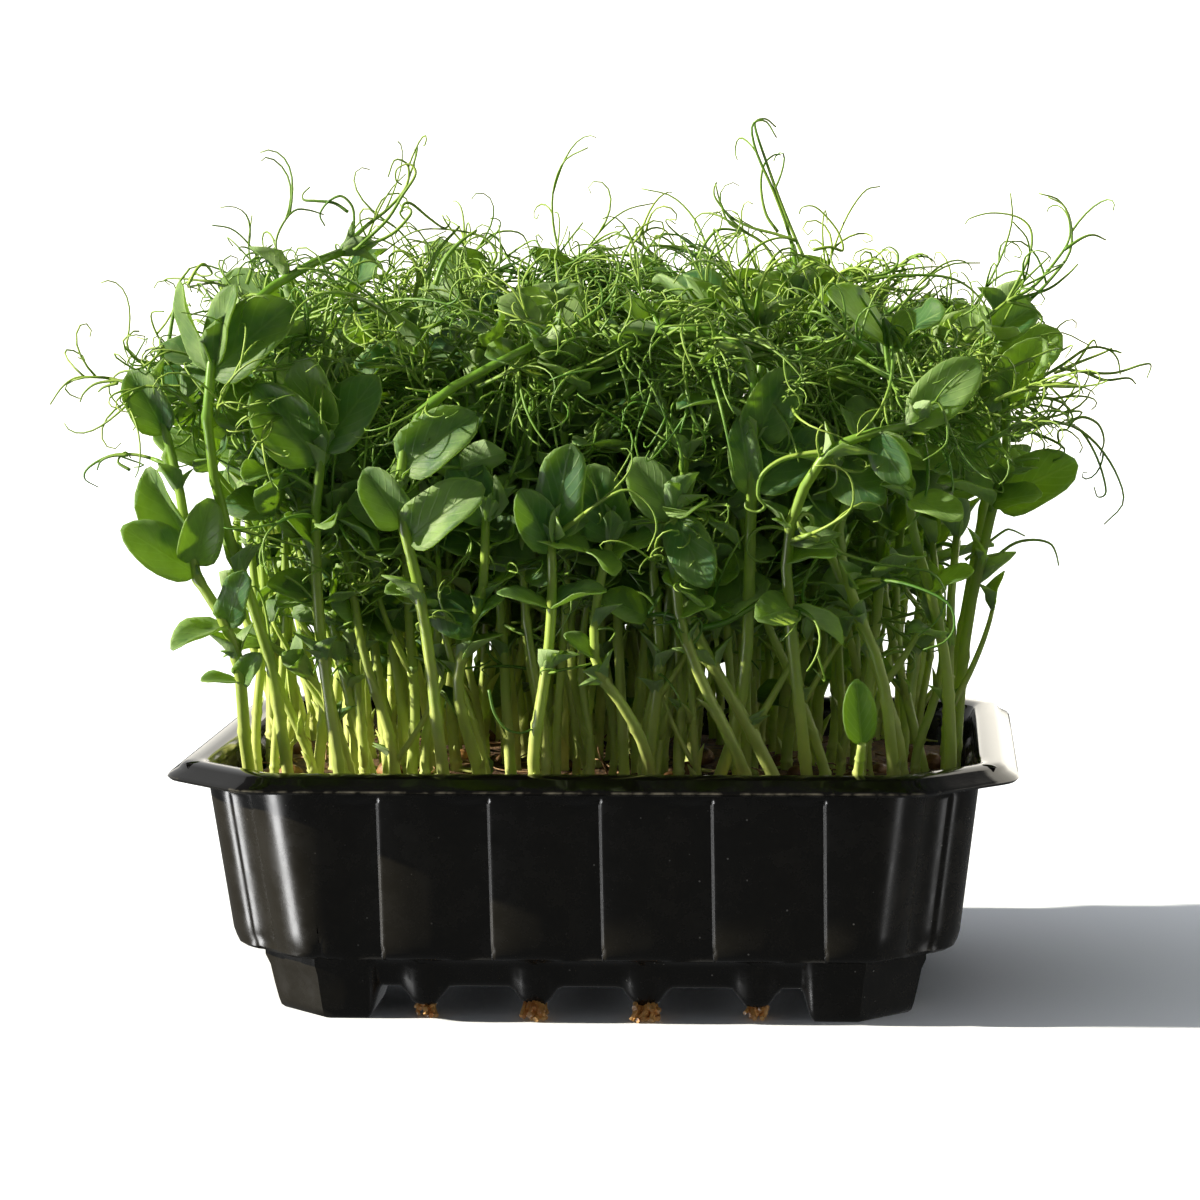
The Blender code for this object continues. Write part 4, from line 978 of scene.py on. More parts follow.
class Thicket:
    # what is already placed, as balls with the shoot that each belongs to

    def __init__(self):
        self.balls = np.zeros((0, 4))
        self.owner = np.zeros(0, int)

    def clear(self, balls, owner):
        mine = np.array(balls)
        others = self.balls[self.owner != owner]
        if not len(others):
            return True
        gap = np.linalg.norm(mine[:, None, :3] - others[None, :, :3], axis=2)
        return bool((gap > mine[:, None, 3] + others[None, :, 3]).all())

    def inside(self, balls):
        mine = np.array(balls)
        high = mine[:, 2] + mine[:, 3]
        low = mine[:, 2] - mine[:, 3]
        nearRim = low < trayShape["rimHeight"] + 3
        x, y = np.abs(mine[:, 0]), np.abs(mine[:, 1])
        overTray = (x < layout["overTray"][0]) & (y < layout["overTray"][1])
        reached = (x < layout["reachX"]) & (y < layout["reachY"]) & (high < layout["topHeight"])
        return bool((reached & (~nearRim | overTray)).all())

    def add(self, balls, owner):
        self.balls = np.vstack([self.balls, np.array(balls)])
        self.owner = np.concatenate([self.owner, np.full(len(balls), owner)])


def nearestOn(path, place):
    found = []
    for a, b in zip(path, path[1:]):
        share = (place - a).dot(b - a) / (b - a).length_squared
        found.append(a.lerp(b, clamped(share)))
    return min(found, key=lambda p: (p - place).length)


def drawnShoot(number, drawing, thicket):
    path = smoothPath(drawing["stem"], max(layout["stemSteps"], len(drawing["stem"]) - 1))
    shoot = {"stem": path, "leaves": [], "vines": []}
    for base, tip, width, facing in drawing["leaves"]:
        root = nearestOn(path, Vector(base))
        root = root - (Vector(tip) - root).normalized() * layout["leafSink"] / 2
        shoot["leaves"].append(leafBetween(root, tip, width, facing))
    for points in drawing["tendrils"]:
        vine = smoothPath(points, layout["curlSteps"] + 1)
        vine[0] = nearestOn(path, vine[0])
        shoot["vines"].append(vine)
    thicket.add(tubeCover(shoot["stem"], layout["stemRadius"][0]), number)
    for leaf in shoot["leaves"]:
        thicket.add(leafCover(leaf), number)
    for vine in shoot["vines"]:
        thicket.add(tubeCover(vine, layout["vineRadius"]), number)
    return shoot


def curl(rng, start, heading, length, turn):
    points = [start]
    axis = heading.cross(scatter(rng, (-1, 1), (-1, 1), (-0.3, 0.3))).normalized()
    steps = layout["curlSteps"]
    direction = heading.normalized()
    for k in range(steps):
        bend = turn * (0.3 + 1.4 * (k / steps) ** 2) / steps
        direction = Matrix.Rotation(bend, 3, axis) @ direction
        points.append(points[-1] + direction * (length / steps))
    return points


def grownUnit(rng, path, share, outward):
    # two leaflets on a leaf stalk that ends in a tendril
    start = pointAt(path, share)
    angle = rng.uniform(-math.pi, math.pi)
    aim = Vector((math.cos(angle), math.sin(angle), rng.uniform(0.2, 1.0)))
    aim = (aim + outward * rng.uniform(0.0, 0.9)).normalized()
    stalk = rng.uniform(8, 17)
    fork = start + aim * stalk + Vector((0, 0, stalk * 0.12))
    across = aim.cross(Vector((0, 0, 1))).normalized()
    leaves = []
    for side in (-1, 1):
        spread = rng.uniform(0.7, 1.2)
        along = (aim * 0.75 + across * side * spread + Vector((0, 0, rng.uniform(-0.1, 0.7)))).normalized()
        length = rng.uniform(*layout["leafLength"])
        facing = Vector((rng.uniform(-0.4, 0.4), rng.uniform(-0.7, 0.2), 1.0)) + outward * rng.uniform(0, 1.2)
        base = fork - along * layout["leafSink"]
        leaves.append(leafBetween(base, base + along * length, length * layout["leafWidth"], facing))
    heading = (aim + Vector((rng.uniform(-0.5, 0.5), rng.uniform(-0.5, 0.5), 0.9))).normalized()
    return leaves, [start, *curl(rng, fork, heading, rng.uniform(24, 44), rng.uniform(1.5, 5.0))]


def grownShoot(rng, number, base, thicket):
    for attempt in range(40):
        reach = 1.13 + 0.012 * attempt * rng.uniform(-1, 1)
        height = rng.uniform(*layout["height"]) - layout["fall"] * (base[0] ** 2)
        top = Vector((base[0] * reach + rng.uniform(-6, 6), base[1] * reach + rng.uniform(-5, 5), height))
        sway = Vector((rng.uniform(-4, 4), rng.uniform(-4, 4), 0))
        foot = Vector((base[0], base[1], layout["matTop"]))
        path = smoothPath([foot, foot.lerp(top, 0.12), foot.lerp(top, 0.5) + sway, top], layout["stemSteps"])
        balls = tubeCover(path, layout["stemRadius"][0])
        if thicket.clear(balls, number) and thicket.inside(balls):
            break
    else:
        return None
    thicket.add(balls, number)
    shoot = {"stem": path, "leaves": [], "vines": []}
    outward = Vector((base[0] / 80, base[1] / 55, 0.0))
    wanted = 2 if rng.random() < 0.55 else 1
    for share in (rng.uniform(0.93, 0.99), rng.uniform(0.62, 0.82), rng.uniform(0.45, 0.6))[:wanted + 1]:
        for attempt in range(90):
            leaves, vine = grownUnit(rng, path, share, outward)
            every = tubeCover(vine, layout["vineRadius"])
            every += [ball for leaf in leaves for ball in leafCover(leaf)]
            if thicket.clear(every, number) and thicket.inside(every):
                shoot["leaves"] += leaves
                shoot["vines"].append(vine)
                thicket.add(every, number)
                break
        if len(shoot["vines"]) >= wanted:
            break
    return shoot


def layOutShoots():
    rng = random.Random(layout["seed"])
    thicket = Thicket()
    shoots = [drawnShoot(k, drawing, thicket) for k, drawing in enumerate(drawnShoots)]
    feet = [shoot["stem"][0].to_2d() for shoot in shoots]
    places = []
    left, across = layout["columnSpan"]
    front, deep = layout["rowSpan"]
    for row in range(layout["rows"]):
        for column in range(layout["columns"]):
            x = left + across * (column + 0.5 * (row % 2)) / (layout["columns"] - 0.5)
            x += rng.uniform(*layout["jitter"])
            y = front + deep * row / (layout["rows"] - 1) + rng.uniform(*layout["jitter"])
            if all((Vector((x, y)) - foot).length > layout["footGap"] for foot in feet):
                places.append((x, y))
    for base in places:
        shoot = grownShoot(rng, len(shoots), base, thicket)
        if shoot and shoot["vines"]:
            shoots.append(shoot)
    return shoots


shoots = layOutShoots()
print("layout of", len(shoots), "shoots")


# leaf blades, each modelled once and copied

leafForms = {
    "open": {"columns": 6, "rows": 9, "fold": 0.30, "droop": -0.20, "wave": 0.012, "widths": "oval"},
    "cupped": {"columns": 6, "rows": 9, "fold": 0.66, "droop": -0.30, "wave": 0.018, "widths": "round"},
    "wavy": {"columns": 6, "rows": 9, "fold": 0.22, "droop": -0.12, "wave": 0.040, "widths": "round"},
    "folded": {"columns": 6, "rows": 9, "fold": 1.15, "droop": -0.22, "wave": 0.012, "widths": "oval"},
    "far": {"columns": 2, "rows": 6, "fold": 0.42, "droop": -0.24, "wave": 0.022, "widths": "round"},
    "young": {"columns": 2, "rows": 4, "fold": 0.9, "droop": -0.40, "wave": 0.0, "widths": "narrow"},
    "scale": {"columns": 2, "rows": 3, "fold": 0.7, "droop": -0.15, "wave": 0.0, "widths": "pointed"},
}
leafOutline = {
    "oval": ((0, 0.10), (0.07, 0.46), (0.18, 0.78), (0.34, 0.97), (0.5, 1.0), (0.66, 0.95), (0.8, 0.80),
             (0.9, 0.58), (0.97, 0.32), (1, 0.12)),
    "round": ((0, 0.12), (0.06, 0.54), (0.16, 0.86), (0.32, 1.0), (0.5, 1.0), (0.68, 0.96), (0.82, 0.83),
              (0.92, 0.60), (0.98, 0.34), (1, 0.14)),
    "narrow": ((0, 0.22), (0.2, 0.72), (0.45, 1.0), (0.7, 0.78), (0.9, 0.34), (1, 0.06)),
    "pointed": ((0, 0.16), (0.12, 0.6), (0.3, 0.9), (0.5, 0.86), (0.72, 0.6), (0.9, 0.26), (1, 0.05)),
}
leafThickness = 0.021  # share of the blade's length


def widthAt(outline, along):
    for (a, wa), (b, wb) in zip(outline, outline[1:]):
        if a <= along <= b:
            return wa + (wb - wa) * (along - a) / (b - a)
    return outline[-1][1]


def modelLeaf(name, form):
    # a grid narrowed row by row to the leaf's outline, then cupped, drooped and waved
    pickNone()
    columns, rows = form["columns"], form["rows"]
    bpy.ops.mesh.primitive_grid_add(x_subdivisions=columns, y_subdivisions=rows, size=1, location=(0, 0.5, 0))
    leaf = placed(rename("leaf_" + name))
    outline = leafOutline[form["widths"]]
    for k in range(rows + 1):
        even = k / rows
        along = even + 0.45 * (0.5 - 0.5 * math.cos(math.pi * even) - even)
        selectVerts(leaf, lambda place: abs(place.y - even) < 1e-4 and abs(place.z) < 1e-6)
        bpy.ops.transform.resize(value=(widthAt(outline, along), 1, 1), center_override=(0, even, 0))
        lift = form["droop"] * (along - 0.3) ** 2 + 0.018
        bpy.ops.transform.translate(value=(0, along - even, lift if abs(lift) > 1e-5 else 1e-5))
        objectMode()
    for vert in leaf.data.vertices:
        x, y = vert.co.x, vert.co.y
        vert.co.z += form["fold"] * x * x - 0.03 * max(0.0, 1 - abs(x) / 0.12) * math.sin(math.pi * y)
        vert.co.z += form["wave"] * math.sin(9 * y + (2 if x > 0 else 0)) * abs(x) * 4
    leaf.data.materials.append(leafTop)
    leaf.data.materials.append(leafUnder)
    leaf.data.update()
    applyModifier(leaf, "SOLIDIFY", thickness=leafThickness, offset=-1.0, material_offset=1)
    leaf.hide_render = True
    bpy.ops.object.shade_smooth()
    return leaf


leafModels = {name: modelLeaf(name, form) for name, form in leafForms.items()}


def leafCopy(rng, leaf, form=None):
    # laid from base to tip, given its thickness, pale below
    form = form or rng.choice(("open", "cupped", "open", "wavy", "cupped", "folded"))
    size = Matrix.Diagonal((leaf["width"] * mm, leaf["length"] * mm, leaf["length"] * mm, 1.0))
    turned = leaf["frame"].copy()
    turned.translation = leaf["frame"].translation * mm
    twin = copied(leafModels[form], turned @ size)
    twin.hide_render = False
    if form == "scale" and leaf["base"].z < 95:
        twin.data.materials[0] = twin.data.materials[1] = stemSkin
    tone = twin.data.attributes.new("tone", "FLOAT", "POINT")
    shade = rng.uniform(0.3, 1.0) if form == "young" else rng.random() ** 1.5 * 0.85
    tone.data.foreach_set("value", [shade] * len(twin.data.vertices))
    return twin


def tubes(name, runs, resolution, material):
    # one curve object that holds each run of points as its own tube
    data = bpy.data.curves.new(name, "CURVE")
    data.dimensions = "3D"
    data.bevel_depth = mm
    data.bevel_resolution = resolution
    data.use_fill_caps = True
    for points, radii in runs:
        spline = data.splines.new("POLY")
        spline.points.add(len(points) - 1)
        spline.points.foreach_set("co", [v for p in points for v in (p[0] * mm, p[1] * mm, p[2] * mm, 1.0)])
        spline.points.foreach_set("radius", list(radii))
    data.materials.append(material)
    return addObject(name, data)


def tapered(points, wide, thin):
    last = len(points) - 1
    return [wide + (thin - wide) * k / last for k in range(len(points))]


fineGrowth = {"stem": (1.5, 0.95), "stemPoints": 13, "nodes": (0.09, 0.25, 0.43, 0.61, 0.8),
              "nodeSwell": 0.2, "leafShare": 0.92, "stalk": 0.62, "tendril": (0.40, 0.17),
              "branch": (0.29, 0.14), "seed": 11}


def jointedStem(path, wide, thin):
    # an even tube with a slightly swollen ring at each node
    count = fineGrowth["stemPoints"]
    even = smoothPath(path, count)
    shares = {k / count for k in range(count + 1)}
    shares |= {at + step for at in fineGrowth["nodes"] for step in (-0.014, 0.0, 0.016)}
    points, radii = [], []
    for share in sorted(shares):
        points.append(pointAt(even, share))
        swell = max(1 - (abs(share - node) / 0.013) for node in fineGrowth["nodes"])
        radii.append((wide + (thin - wide) * share) * (1 + fineGrowth["nodeSwell"] * clamped(1.6 * swell)))
    return points, radii


def curlRun(rng, start, heading, length, steps, turns, droop=0.0):
    # sets out straight, then winds up into an open coil
    direction = heading.normalized()
    side = direction.cross(scatter(rng, (-1, 1), (-1, 1), (-0.6, 0.6))).normalized()
    points = [start.copy()]
    for k in range(steps):
        share = k / steps
        bend = 2 * math.pi * turns * (0.25 + 2.2 * share ** 2) / steps
        direction = Matrix.Rotation(bend, 3, side) @ direction
        side = Matrix.Rotation(rng.uniform(-0.16, 0.16), 3, direction) @ side
        direction = (direction + Vector((0, 0, -droop / steps))).normalized()
        points.append(points[-1] + direction * (length / steps) * (1.15 - 0.55 * share))
    return points


growthLimits = {"top": 196.5, "levelOver": 190, "low": 60, "deep": 70.8, "wide": 117.5, "wideOver": 116,
                "narrow": 82, "leftFall": 0.0005, "rightFall": 0.0013}


def canopyFall(x):
    # the canopy stays level toward its left end and falls toward the right
    return growthLimits["leftFall" if x < 0 else "rightFall"] * x * x


def withinReach(points, ceiling=growthLimits["top"]):
    # the growth may lean out over the rim only high up
    falls = 1 if ceiling < growthLimits["levelOver"] else 0
    for p in points:
        wide = growthLimits["wide" if p.z > growthLimits["wideOver"] else "narrow"]
        if abs(p.x) >= wide or abs(p.y) >= growthLimits["deep"]:
            return False
        if not growthLimits["low"] < p.z < ceiling - falls * canopyFall(p.x):
            return False
    return True


def branches(rng, run, count, reach, since=0.25, until=0.8, ceiling=growthLimits["top"]):
    # thinner arms that leave a tendril in pairs and curl by themselves
    arms = []
    for _ in range(count):
        k = int(rng.uniform(since, until) * (len(run) - 2))
        ahead = (run[k + 1] - run[k]).normalized()
        away = scatter(rng, (-1, 1), (-1, 1), (-0.5, 1)).normalized()
        heading = (ahead + away * rng.uniform(0.5, 1.1)).normalized()
        arm = curlRun(rng, run[k], heading, rng.uniform(*reach), 8, rng.uniform(0.25, 1.1),
                      rng.uniform(-0.2, 0.6))
        if withinReach(arm, ceiling):
            arms.append((arm, tapered(arm, *fineGrowth["branch"])))
    return arms


def scaleLeaf(rng, path, k, size):
    # a small bract that clasps the stem
    up = (path[k + 1] - path[k]).normalized()
    out = around(rng, up)
    tip = path[k] + out * size * rng.uniform(0.25, 0.5) + up * size
    return leafBetween(path[k] + out * 0.9, tip, size * 0.42, -out + up * 0.5)


def youngLeaf(rng, base, up, size, out):
    along = (up * rng.uniform(0.7, 1.1) + out * rng.uniform(0.2, 0.8)).normalized()
    return leafBetween(base, base + along * size, size * rng.uniform(0.36, 0.54), up * 0.5 - out)


def youngOn(rng, base, up, sizes):
    return youngLeaf(rng, base, up, rng.uniform(*sizes), around(rng, up))


def around(rng, up):
    turn = rng.uniform(0, 2 * math.pi)
    out = Vector((math.cos(turn), math.sin(turn), 0))
    return (out - up * out.dot(up)).normalized()


def fineParts(rng, shoot, slim=1.0):
    # all curves and leaves of one shoot, finer than its solid but on the same lines
    foot = shoot["stem"][0]
    path = shoot["stem"]
    if foot.z < 51:
        path = [Vector((foot.x, foot.y, layout["matTop"] - 4.0)), *path]
    stem, radii = jointedStem(path, fineGrowth["stem"][0] * slim, fineGrowth["stem"][1] * slim)
    thick = [(stem, radii)]
    thin, leaves = [], []
    for vine in shoot["vines"]:
        run = smoothPath(vine, 20)
        stalk = run[:5]
        thick.append((stalk, tapered(stalk, fineGrowth["stalk"] * 1.15, fineGrowth["stalk"] * 0.75)))
        thin.append((run[4:], tapered(run[4:], *fineGrowth["tendril"])))
        thin += branches(rng, run, rng.randint(2, 4), (12, 26), 0.28, 0.75)
        if run[0].z > 84:
            # leafy stipules clasp the stem where the stalk leaves it
            up = (run[1] - run[0]).normalized()
            for _ in range(2):
                leaves.append((youngOn(rng, run[0], up, (6.5, 11.5)), "young"))
    for leaf in shoot["leaves"]:
        leaves.append((shrunk(leaf, fineGrowth["leafShare"]), None))
    if stem[-1].z < 70:
        # a seedling has no more than its one flat leaf
        return thick, thin, [(leaf, "open") for leaf, _ in leaves]
    up = (stem[-1] - stem[-3]).normalized()
    for _ in range(3):
        leaf = youngOn(rng, stem[-1] - up * 1.5, up, (7, 12))
        leaves.append((leaf, rng.choice(("young", "folded"))))
    for at in fineGrowth["nodes"][1:]:
        place = min(range(len(stem) - 1), key=lambda k: abs(k / (len(stem) - 1) - at))
        if rng.random() < 0.5:
            leaves.append((scaleLeaf(rng, stem, place, rng.uniform(4.0, 7.0)), "scale"))
        if stem[place].z > 74 and stem[place].y < 5 and rng.random() < 0.6:
            up = (stem[place + 1] - stem[place]).normalized()
            for _ in range(rng.randint(2, 3)):
                leaves.append((youngOn(rng, stem[place], up, (6, 12)), "young"))
            for _ in range(rng.randint(0, 2)):
                aim = around(rng, up) + up * 0.4
                run = curlRun(rng, stem[place], aim, rng.uniform(9, 20), 8, rng.uniform(0.2, 1.0), 0.4)
                thin.append((run, tapered(run, 0.38, 0.16)))
    return thick, thin, leaves


growthPieces = []


def growthPiece(name, rng, thick, thin, leaves, node=None):
    things = []
    if thick:
        things.append(tubes(name + "_stems", thick, 2 if node else 1, stemSkin))
    if thin:
        things.append(tubes(name + "_tendrils", thin, 0, tendrilSkin))
    things += [leafCopy(rng, leaf, form) for leaf, form in leaves]
    growthPieces.append((name, things, node))


fineRandom = random.Random(fineGrowth["seed"])
for number, shoot in enumerate(shoots, 1):
    thick, thin, leaves = fineParts(fineRandom, shoot)
    growthPiece(f"fineShoot{number:02d}", fineRandom, thick, thin, leaves, f"pea_shoot_{number:02d}")
print("fine shoots laid out")


# growth between the modelled shoots, in bunches side by side along the tray

between = {"bunches": 10, "bunchSpan": (-80, 160), "seed": 5, "feet": 105, "footX": (-77, 77),
           "footY": (-40, 53), "apart": 4.6, "rearStems": 44, "rearX": (-48, 74), "rearY": (38, 54),
           "rearApart": 2.7, "cornerCut": 122, "tries": 9000, "height": (112, 158), "heads": 262,
           "canopy": 144, "canopyRise": 14, "headX": (-94, 93), "headY": (-58, 56), "fans": 38,
           "fanX": (-74, 84), "fanY": (28, 54), "lowHeads": 30, "lowLevels": (84, 122)}
tendrilKinds = {
    "head": {"reach": (16, 32), "steps": 11, "turns": (0.2, 0.9), "droop": (0, 0.8), "wide": (0.42, 0.68),
             "tip": 0.2, "arms": (5, 8), "armReach": (9, 23), "span": (0.1, 0.85), "ceiling": 173.0},
    "fan": {"reach": (22, 44), "steps": 11, "turns": (0.05, 0.45), "droop": (0.3, 1.3), "wide": (0.4, 0.6),
            "tip": 0.18, "arms": (0, 2), "armReach": (6, 14), "span": (0.4, 0.9), "ceiling": 173.0},
    "knot": {"reach": (16, 30), "steps": 13, "turns": (0.3, 1.1), "droop": (0, 0.8), "wide": 0.5,
             "tip": 0.18, "arms": (4, 7), "armReach": (8, 20), "span": (0.1, 0.85), "ceiling": 196.5},
    "curl": {"reach": (14, 30), "steps": 13, "turns": (0.4, 1.4), "droop": (0, 0.6), "wide": 0.4,
             "tip": 0.16, "arms": 3, "armReach": (8, 18), "span": (0.1, 0.7), "ceiling": 196.5},
}
betweenRandom = random.Random(between["seed"])
bunches = [{"thick": [], "thin": [], "leaves": []} for _ in range(between["bunches"])]
stemPaths = [shoot["stem"] for shoot in shoots]


def bunchAt(x):
    left, across = between["bunchSpan"]
    return bunches[min(between["bunches"] - 1, max(0, int((x - left) / across * between["bunches"])))]


def drawn(value, draw):
    # a pair of limits is drawn from, and a single value stays
    return draw(*value) if isinstance(value, tuple) else value


def addTendril(kind, bunch, start, heading):
    # one tendril of this kind with its side arms, unless it leaves the growth
    rng = betweenRandom
    k = tendrilKinds[kind]
    run = curlRun(rng, start, heading, rng.uniform(*k["reach"]), k["steps"], rng.uniform(*k["turns"]),
                  rng.uniform(*k["droop"]))
    if withinReach(run, k["ceiling"]):
        bunch["thin"].append((run, tapered(run, drawn(k["wide"], rng.uniform), k["tip"])))
        arms = drawn(k["arms"], rng.randint)
        bunch["thin"] += branches(rng, run, arms, k["armReach"], *k["span"], k["ceiling"])


def fillShoots():
    rng = betweenRandom
    feet = [path[0].to_2d() for path in stemPaths]
    tries = 0
    made = 0
    while made < between["feet"] + between["rearStems"] and tries < between["tries"]:
        tries += 1
        x, y = rng.uniform(*between["footX"]), rng.uniform(*between["footY"])
        apart = between["apart"]
        if made >= between["feet"]:
            # a close row along the back, where no light comes through
            x, y = rng.uniform(*between["rearX"]), rng.uniform(*between["rearY"])
            apart = between["rearApart"]
        place = Vector((x, y))
        if abs(x) + abs(y) > between["cornerCut"] or any((place - foot).length < apart for foot in feet):
            continue
        feet.append(place)
        made += 1
        height = rng.uniform(*between["height"]) - layout["fall"] * x * x
        reach = rng.uniform(1.02, 1.2)
        top = Vector((x * reach + rng.uniform(-7, 7), y * min(reach, 1.14) + rng.uniform(-5, 5), height))
        foot = Vector((x, y, layout["matTop"]))
        sway = scatter(rng, (-5, 5), (-4, 4)).to_3d()
        path = smoothPath([foot, foot.lerp(top, 0.14), foot.lerp(top, 0.5) + sway, top], 10)
        outward = Vector((x / 80, y / 55, 0.0))
        shoot = {"stem": path, "leaves": [], "vines": []}
        for share in (rng.uniform(0.9, 0.99), rng.uniform(0.66, 0.86), rng.uniform(0.45, 0.7)):
            for _ in range(6):
                leaves, vine = grownUnit(rng, path, share, outward)
                tips = vine + [leaf["tip"] for leaf in leaves]
                if withinReach(tips) and min(p.z for p in tips) > 78:
                    shoot["leaves"] += [shrunk(leaf, rng.uniform(0.6, 0.92)) for leaf in leaves]
                    shoot["vines"].append(vine)
                    break
        stemPaths.append(path)
        thick, thin, leaves = fineParts(rng, shoot, rng.uniform(0.72, 0.98))
        bunch = bunchAt(x)
        bunch["thick"] += thick
        bunch["thin"] += thin
        bunch["leaves"] += [(leaf, form or rng.choice(("far", "open", "cupped", "far")))
                            for leaf, form in leaves]


fillShoots()


# stems that show in the picture between the shoots: how slim, depth of foot and top, then picture points
shownStems = [
    (1.0, -10, -14, (288, 740), (294, 698), (282, 608), (279, 575)),
    (1.1, 10, 8, (272, 719), (272, 650), (274, 600)),
    (0.9, -24, -28, (318, 770), (327, 665), (318, 620)),
    (0.75, -36, -50, (352, 776), (336, 722), (318, 686), (279, 650), (232, 630)),
    (1.0, -30, -36, (372, 776), (357, 725), (342, 665), (330, 611)),
    (0.95, -40, -44, (396, 779), (387, 725), (369, 674), (357, 620)),
    (0.95, -34, -38, (411, 779), (415, 710), (411, 650), (408, 605)),
    (0.7, -38, -44, (489, 779), (474, 725), (450, 656)),
    (1.05, -42, -46, (646, 782), (659, 672), (656, 606)),
    (0.85, -34, -40, (676, 782), (683, 732), (679, 672)),
    (0.75, -40, -42, (698, 782), (693, 722), (690, 660)),
    (1.15, -44, -52, (776, 782), (746, 722), (699, 639), (679, 566)),
    (0.9, -36, -42, (825, 772), (809, 722), (792, 679), (766, 622)),
    (1.1, -38, -46, (902, 778), (898, 738), (878, 672), (859, 622), (835, 566)),
    (0.95, -24, -28, (946, 772), (948, 705), (950, 640)),
    (0.85, -18, -22, (925, 772), (905, 690), (892, 639)),
    (0.9, -10, -16, (868, 776), (862, 700), (850, 640)),
]


def addShownStems():
    rng = betweenRandom
    for slim, footDepth, topDepth, *spots in shownStems:
        last = len(spots) - 1
        points = [fromPicture(spot, footDepth + (topDepth - footDepth) * k / last)
                  for k, spot in enumerate(spots)]
        slope = (points[0] - points[1]) / (points[1].z - points[0].z) * 0.6
        foot = points[0] + slope * (points[0].z - layout["matTop"])
        foot.z = layout["matTop"]
        points = [foot, *points[0 if points[0].z > 52 else 1:]]
        path = smoothPath(points, 3 * len(points))
        top = path[-1]
        lean = (top - path[-3]).normalized()
        path += [top + lean * 6 + Vector((0, 0, 3)), top + lean * 11 + Vector((rng.uniform(-4, 4), 2, 13))]
        shoot = {"stem": path, "leaves": [], "vines": []}
        thick, thin, leaves = fineParts(rng, shoot, slim)
        bunch = bunchAt(path[0].x)
        # a side branch leaves the stem low down in a narrow fork
        k = int(len(path) * rng.uniform(0.3, 0.55))
        side = Vector((rng.choice((-1, 1)) * rng.uniform(0.4, 0.9), rng.uniform(-0.4, 0.3), 1.0)).normalized()
        arm = curlRun(rng, path[k], side, rng.uniform(16, 30), 9, rng.uniform(0.02, 0.12), -0.5)
        thick.append((arm, tapered(arm, 0.85 * slim, 0.5)))
        upright = Vector((0, 0, 1))
        for _ in range(2):
            out = around(rng, upright)
            leaves.append((youngLeaf(rng, arm[-1], upright, rng.uniform(7, 12), out), "young"))
            leaves.append((youngLeaf(rng, path[k], upright, rng.uniform(5, 9), out), "young"))
        bunch["thick"] += thick
        bunch["thin"] += thin
        bunch["leaves"] += leaves
        stemPaths.append(path)


addShownStems()


def tangleHeads():
    # the mass of young tendrils over the canopy
    rng = betweenRandom
    front, rear = between["headY"]
    for _ in range(between["heads"]):
        x, y = rng.uniform(*between["headX"]), rng.uniform(front, rear)
        rise = between["canopyRise"] * (y - front) / (rear - front)
        start = Vector((x, y, between["canopy"] + rise - canopyFall(x) + rng.uniform(-11, 8)))
        heading = scatter(rng, (-1, 1), (-0.9, 0.5), (-0.25, 0.6)).normalized()
        addTendril("head", bunchAt(x), start, heading)


def tendrilFans():
    # long tendrils that leave one tip together and trail over the edge
    rng = betweenRandom
    for _ in range(between["fans"]):
        x, y = rng.uniform(*between["fanX"]), rng.choice((-1, -1, 1)) * rng.uniform(*between["fanY"])
        start = Vector((x, y, 152 - 0.0012 * x * x + rng.uniform(-14, 8)))
        away = -0.7 if y < 0 else 0.7
        lean = Vector((rng.uniform(-0.7, 0.7), away * rng.uniform(0.2, 1.0), rng.uniform(-0.6, 0.6)))
        for _ in range(rng.randint(7, 12)):
            heading = lean + scatter(rng, (-0.4, 0.4), (-0.3, 0.3), (-0.4, 0.4))
            addTendril("fan", bunchAt(x), start, heading)


def leafPair(rng, path, share, aim, reach, sizes):
    # two leaves on a stalk from a stem
    start = pointAt(path, share)
    fork = start + aim * reach
    bend = start.lerp(fork, 0.5) + Vector((0, 0, reach * 0.1))
    stalk = smoothPath([start, bend, fork], 4)
    across = aim.cross(Vector((0, 0, 1))).normalized()
    leaves = []
    for side in (-1, 1):
        along = aim * rng.uniform(0.2, 0.9) + across * side * rng.uniform(0.5, 1.1)
        along = (along + Vector((0, 0, rng.uniform(-0.7, 0.6)))).normalized()
        size = rng.uniform(*sizes)
        facing = scatter(rng, (-0.7, 0.5), (-1.0, 0.3), (0.2, 1.0))
        leaves.append(leafBetween(fork, fork + along * size, size * rng.uniform(0.6, 0.74), facing))
    return stalk, leaves, fork


# pairs of small leaves: how many, depths, heights, leaf lengths and the share that ends in a curl
pairRows = (
    {"count": 170, "rows": (12, 70), "levels": (58, 120), "sizes": (12, 18), "curls": 0.1},
    {"count": 140, "rows": (-80, 0), "levels": (86, 150), "sizes": (10, 15), "curls": 0.45},
)


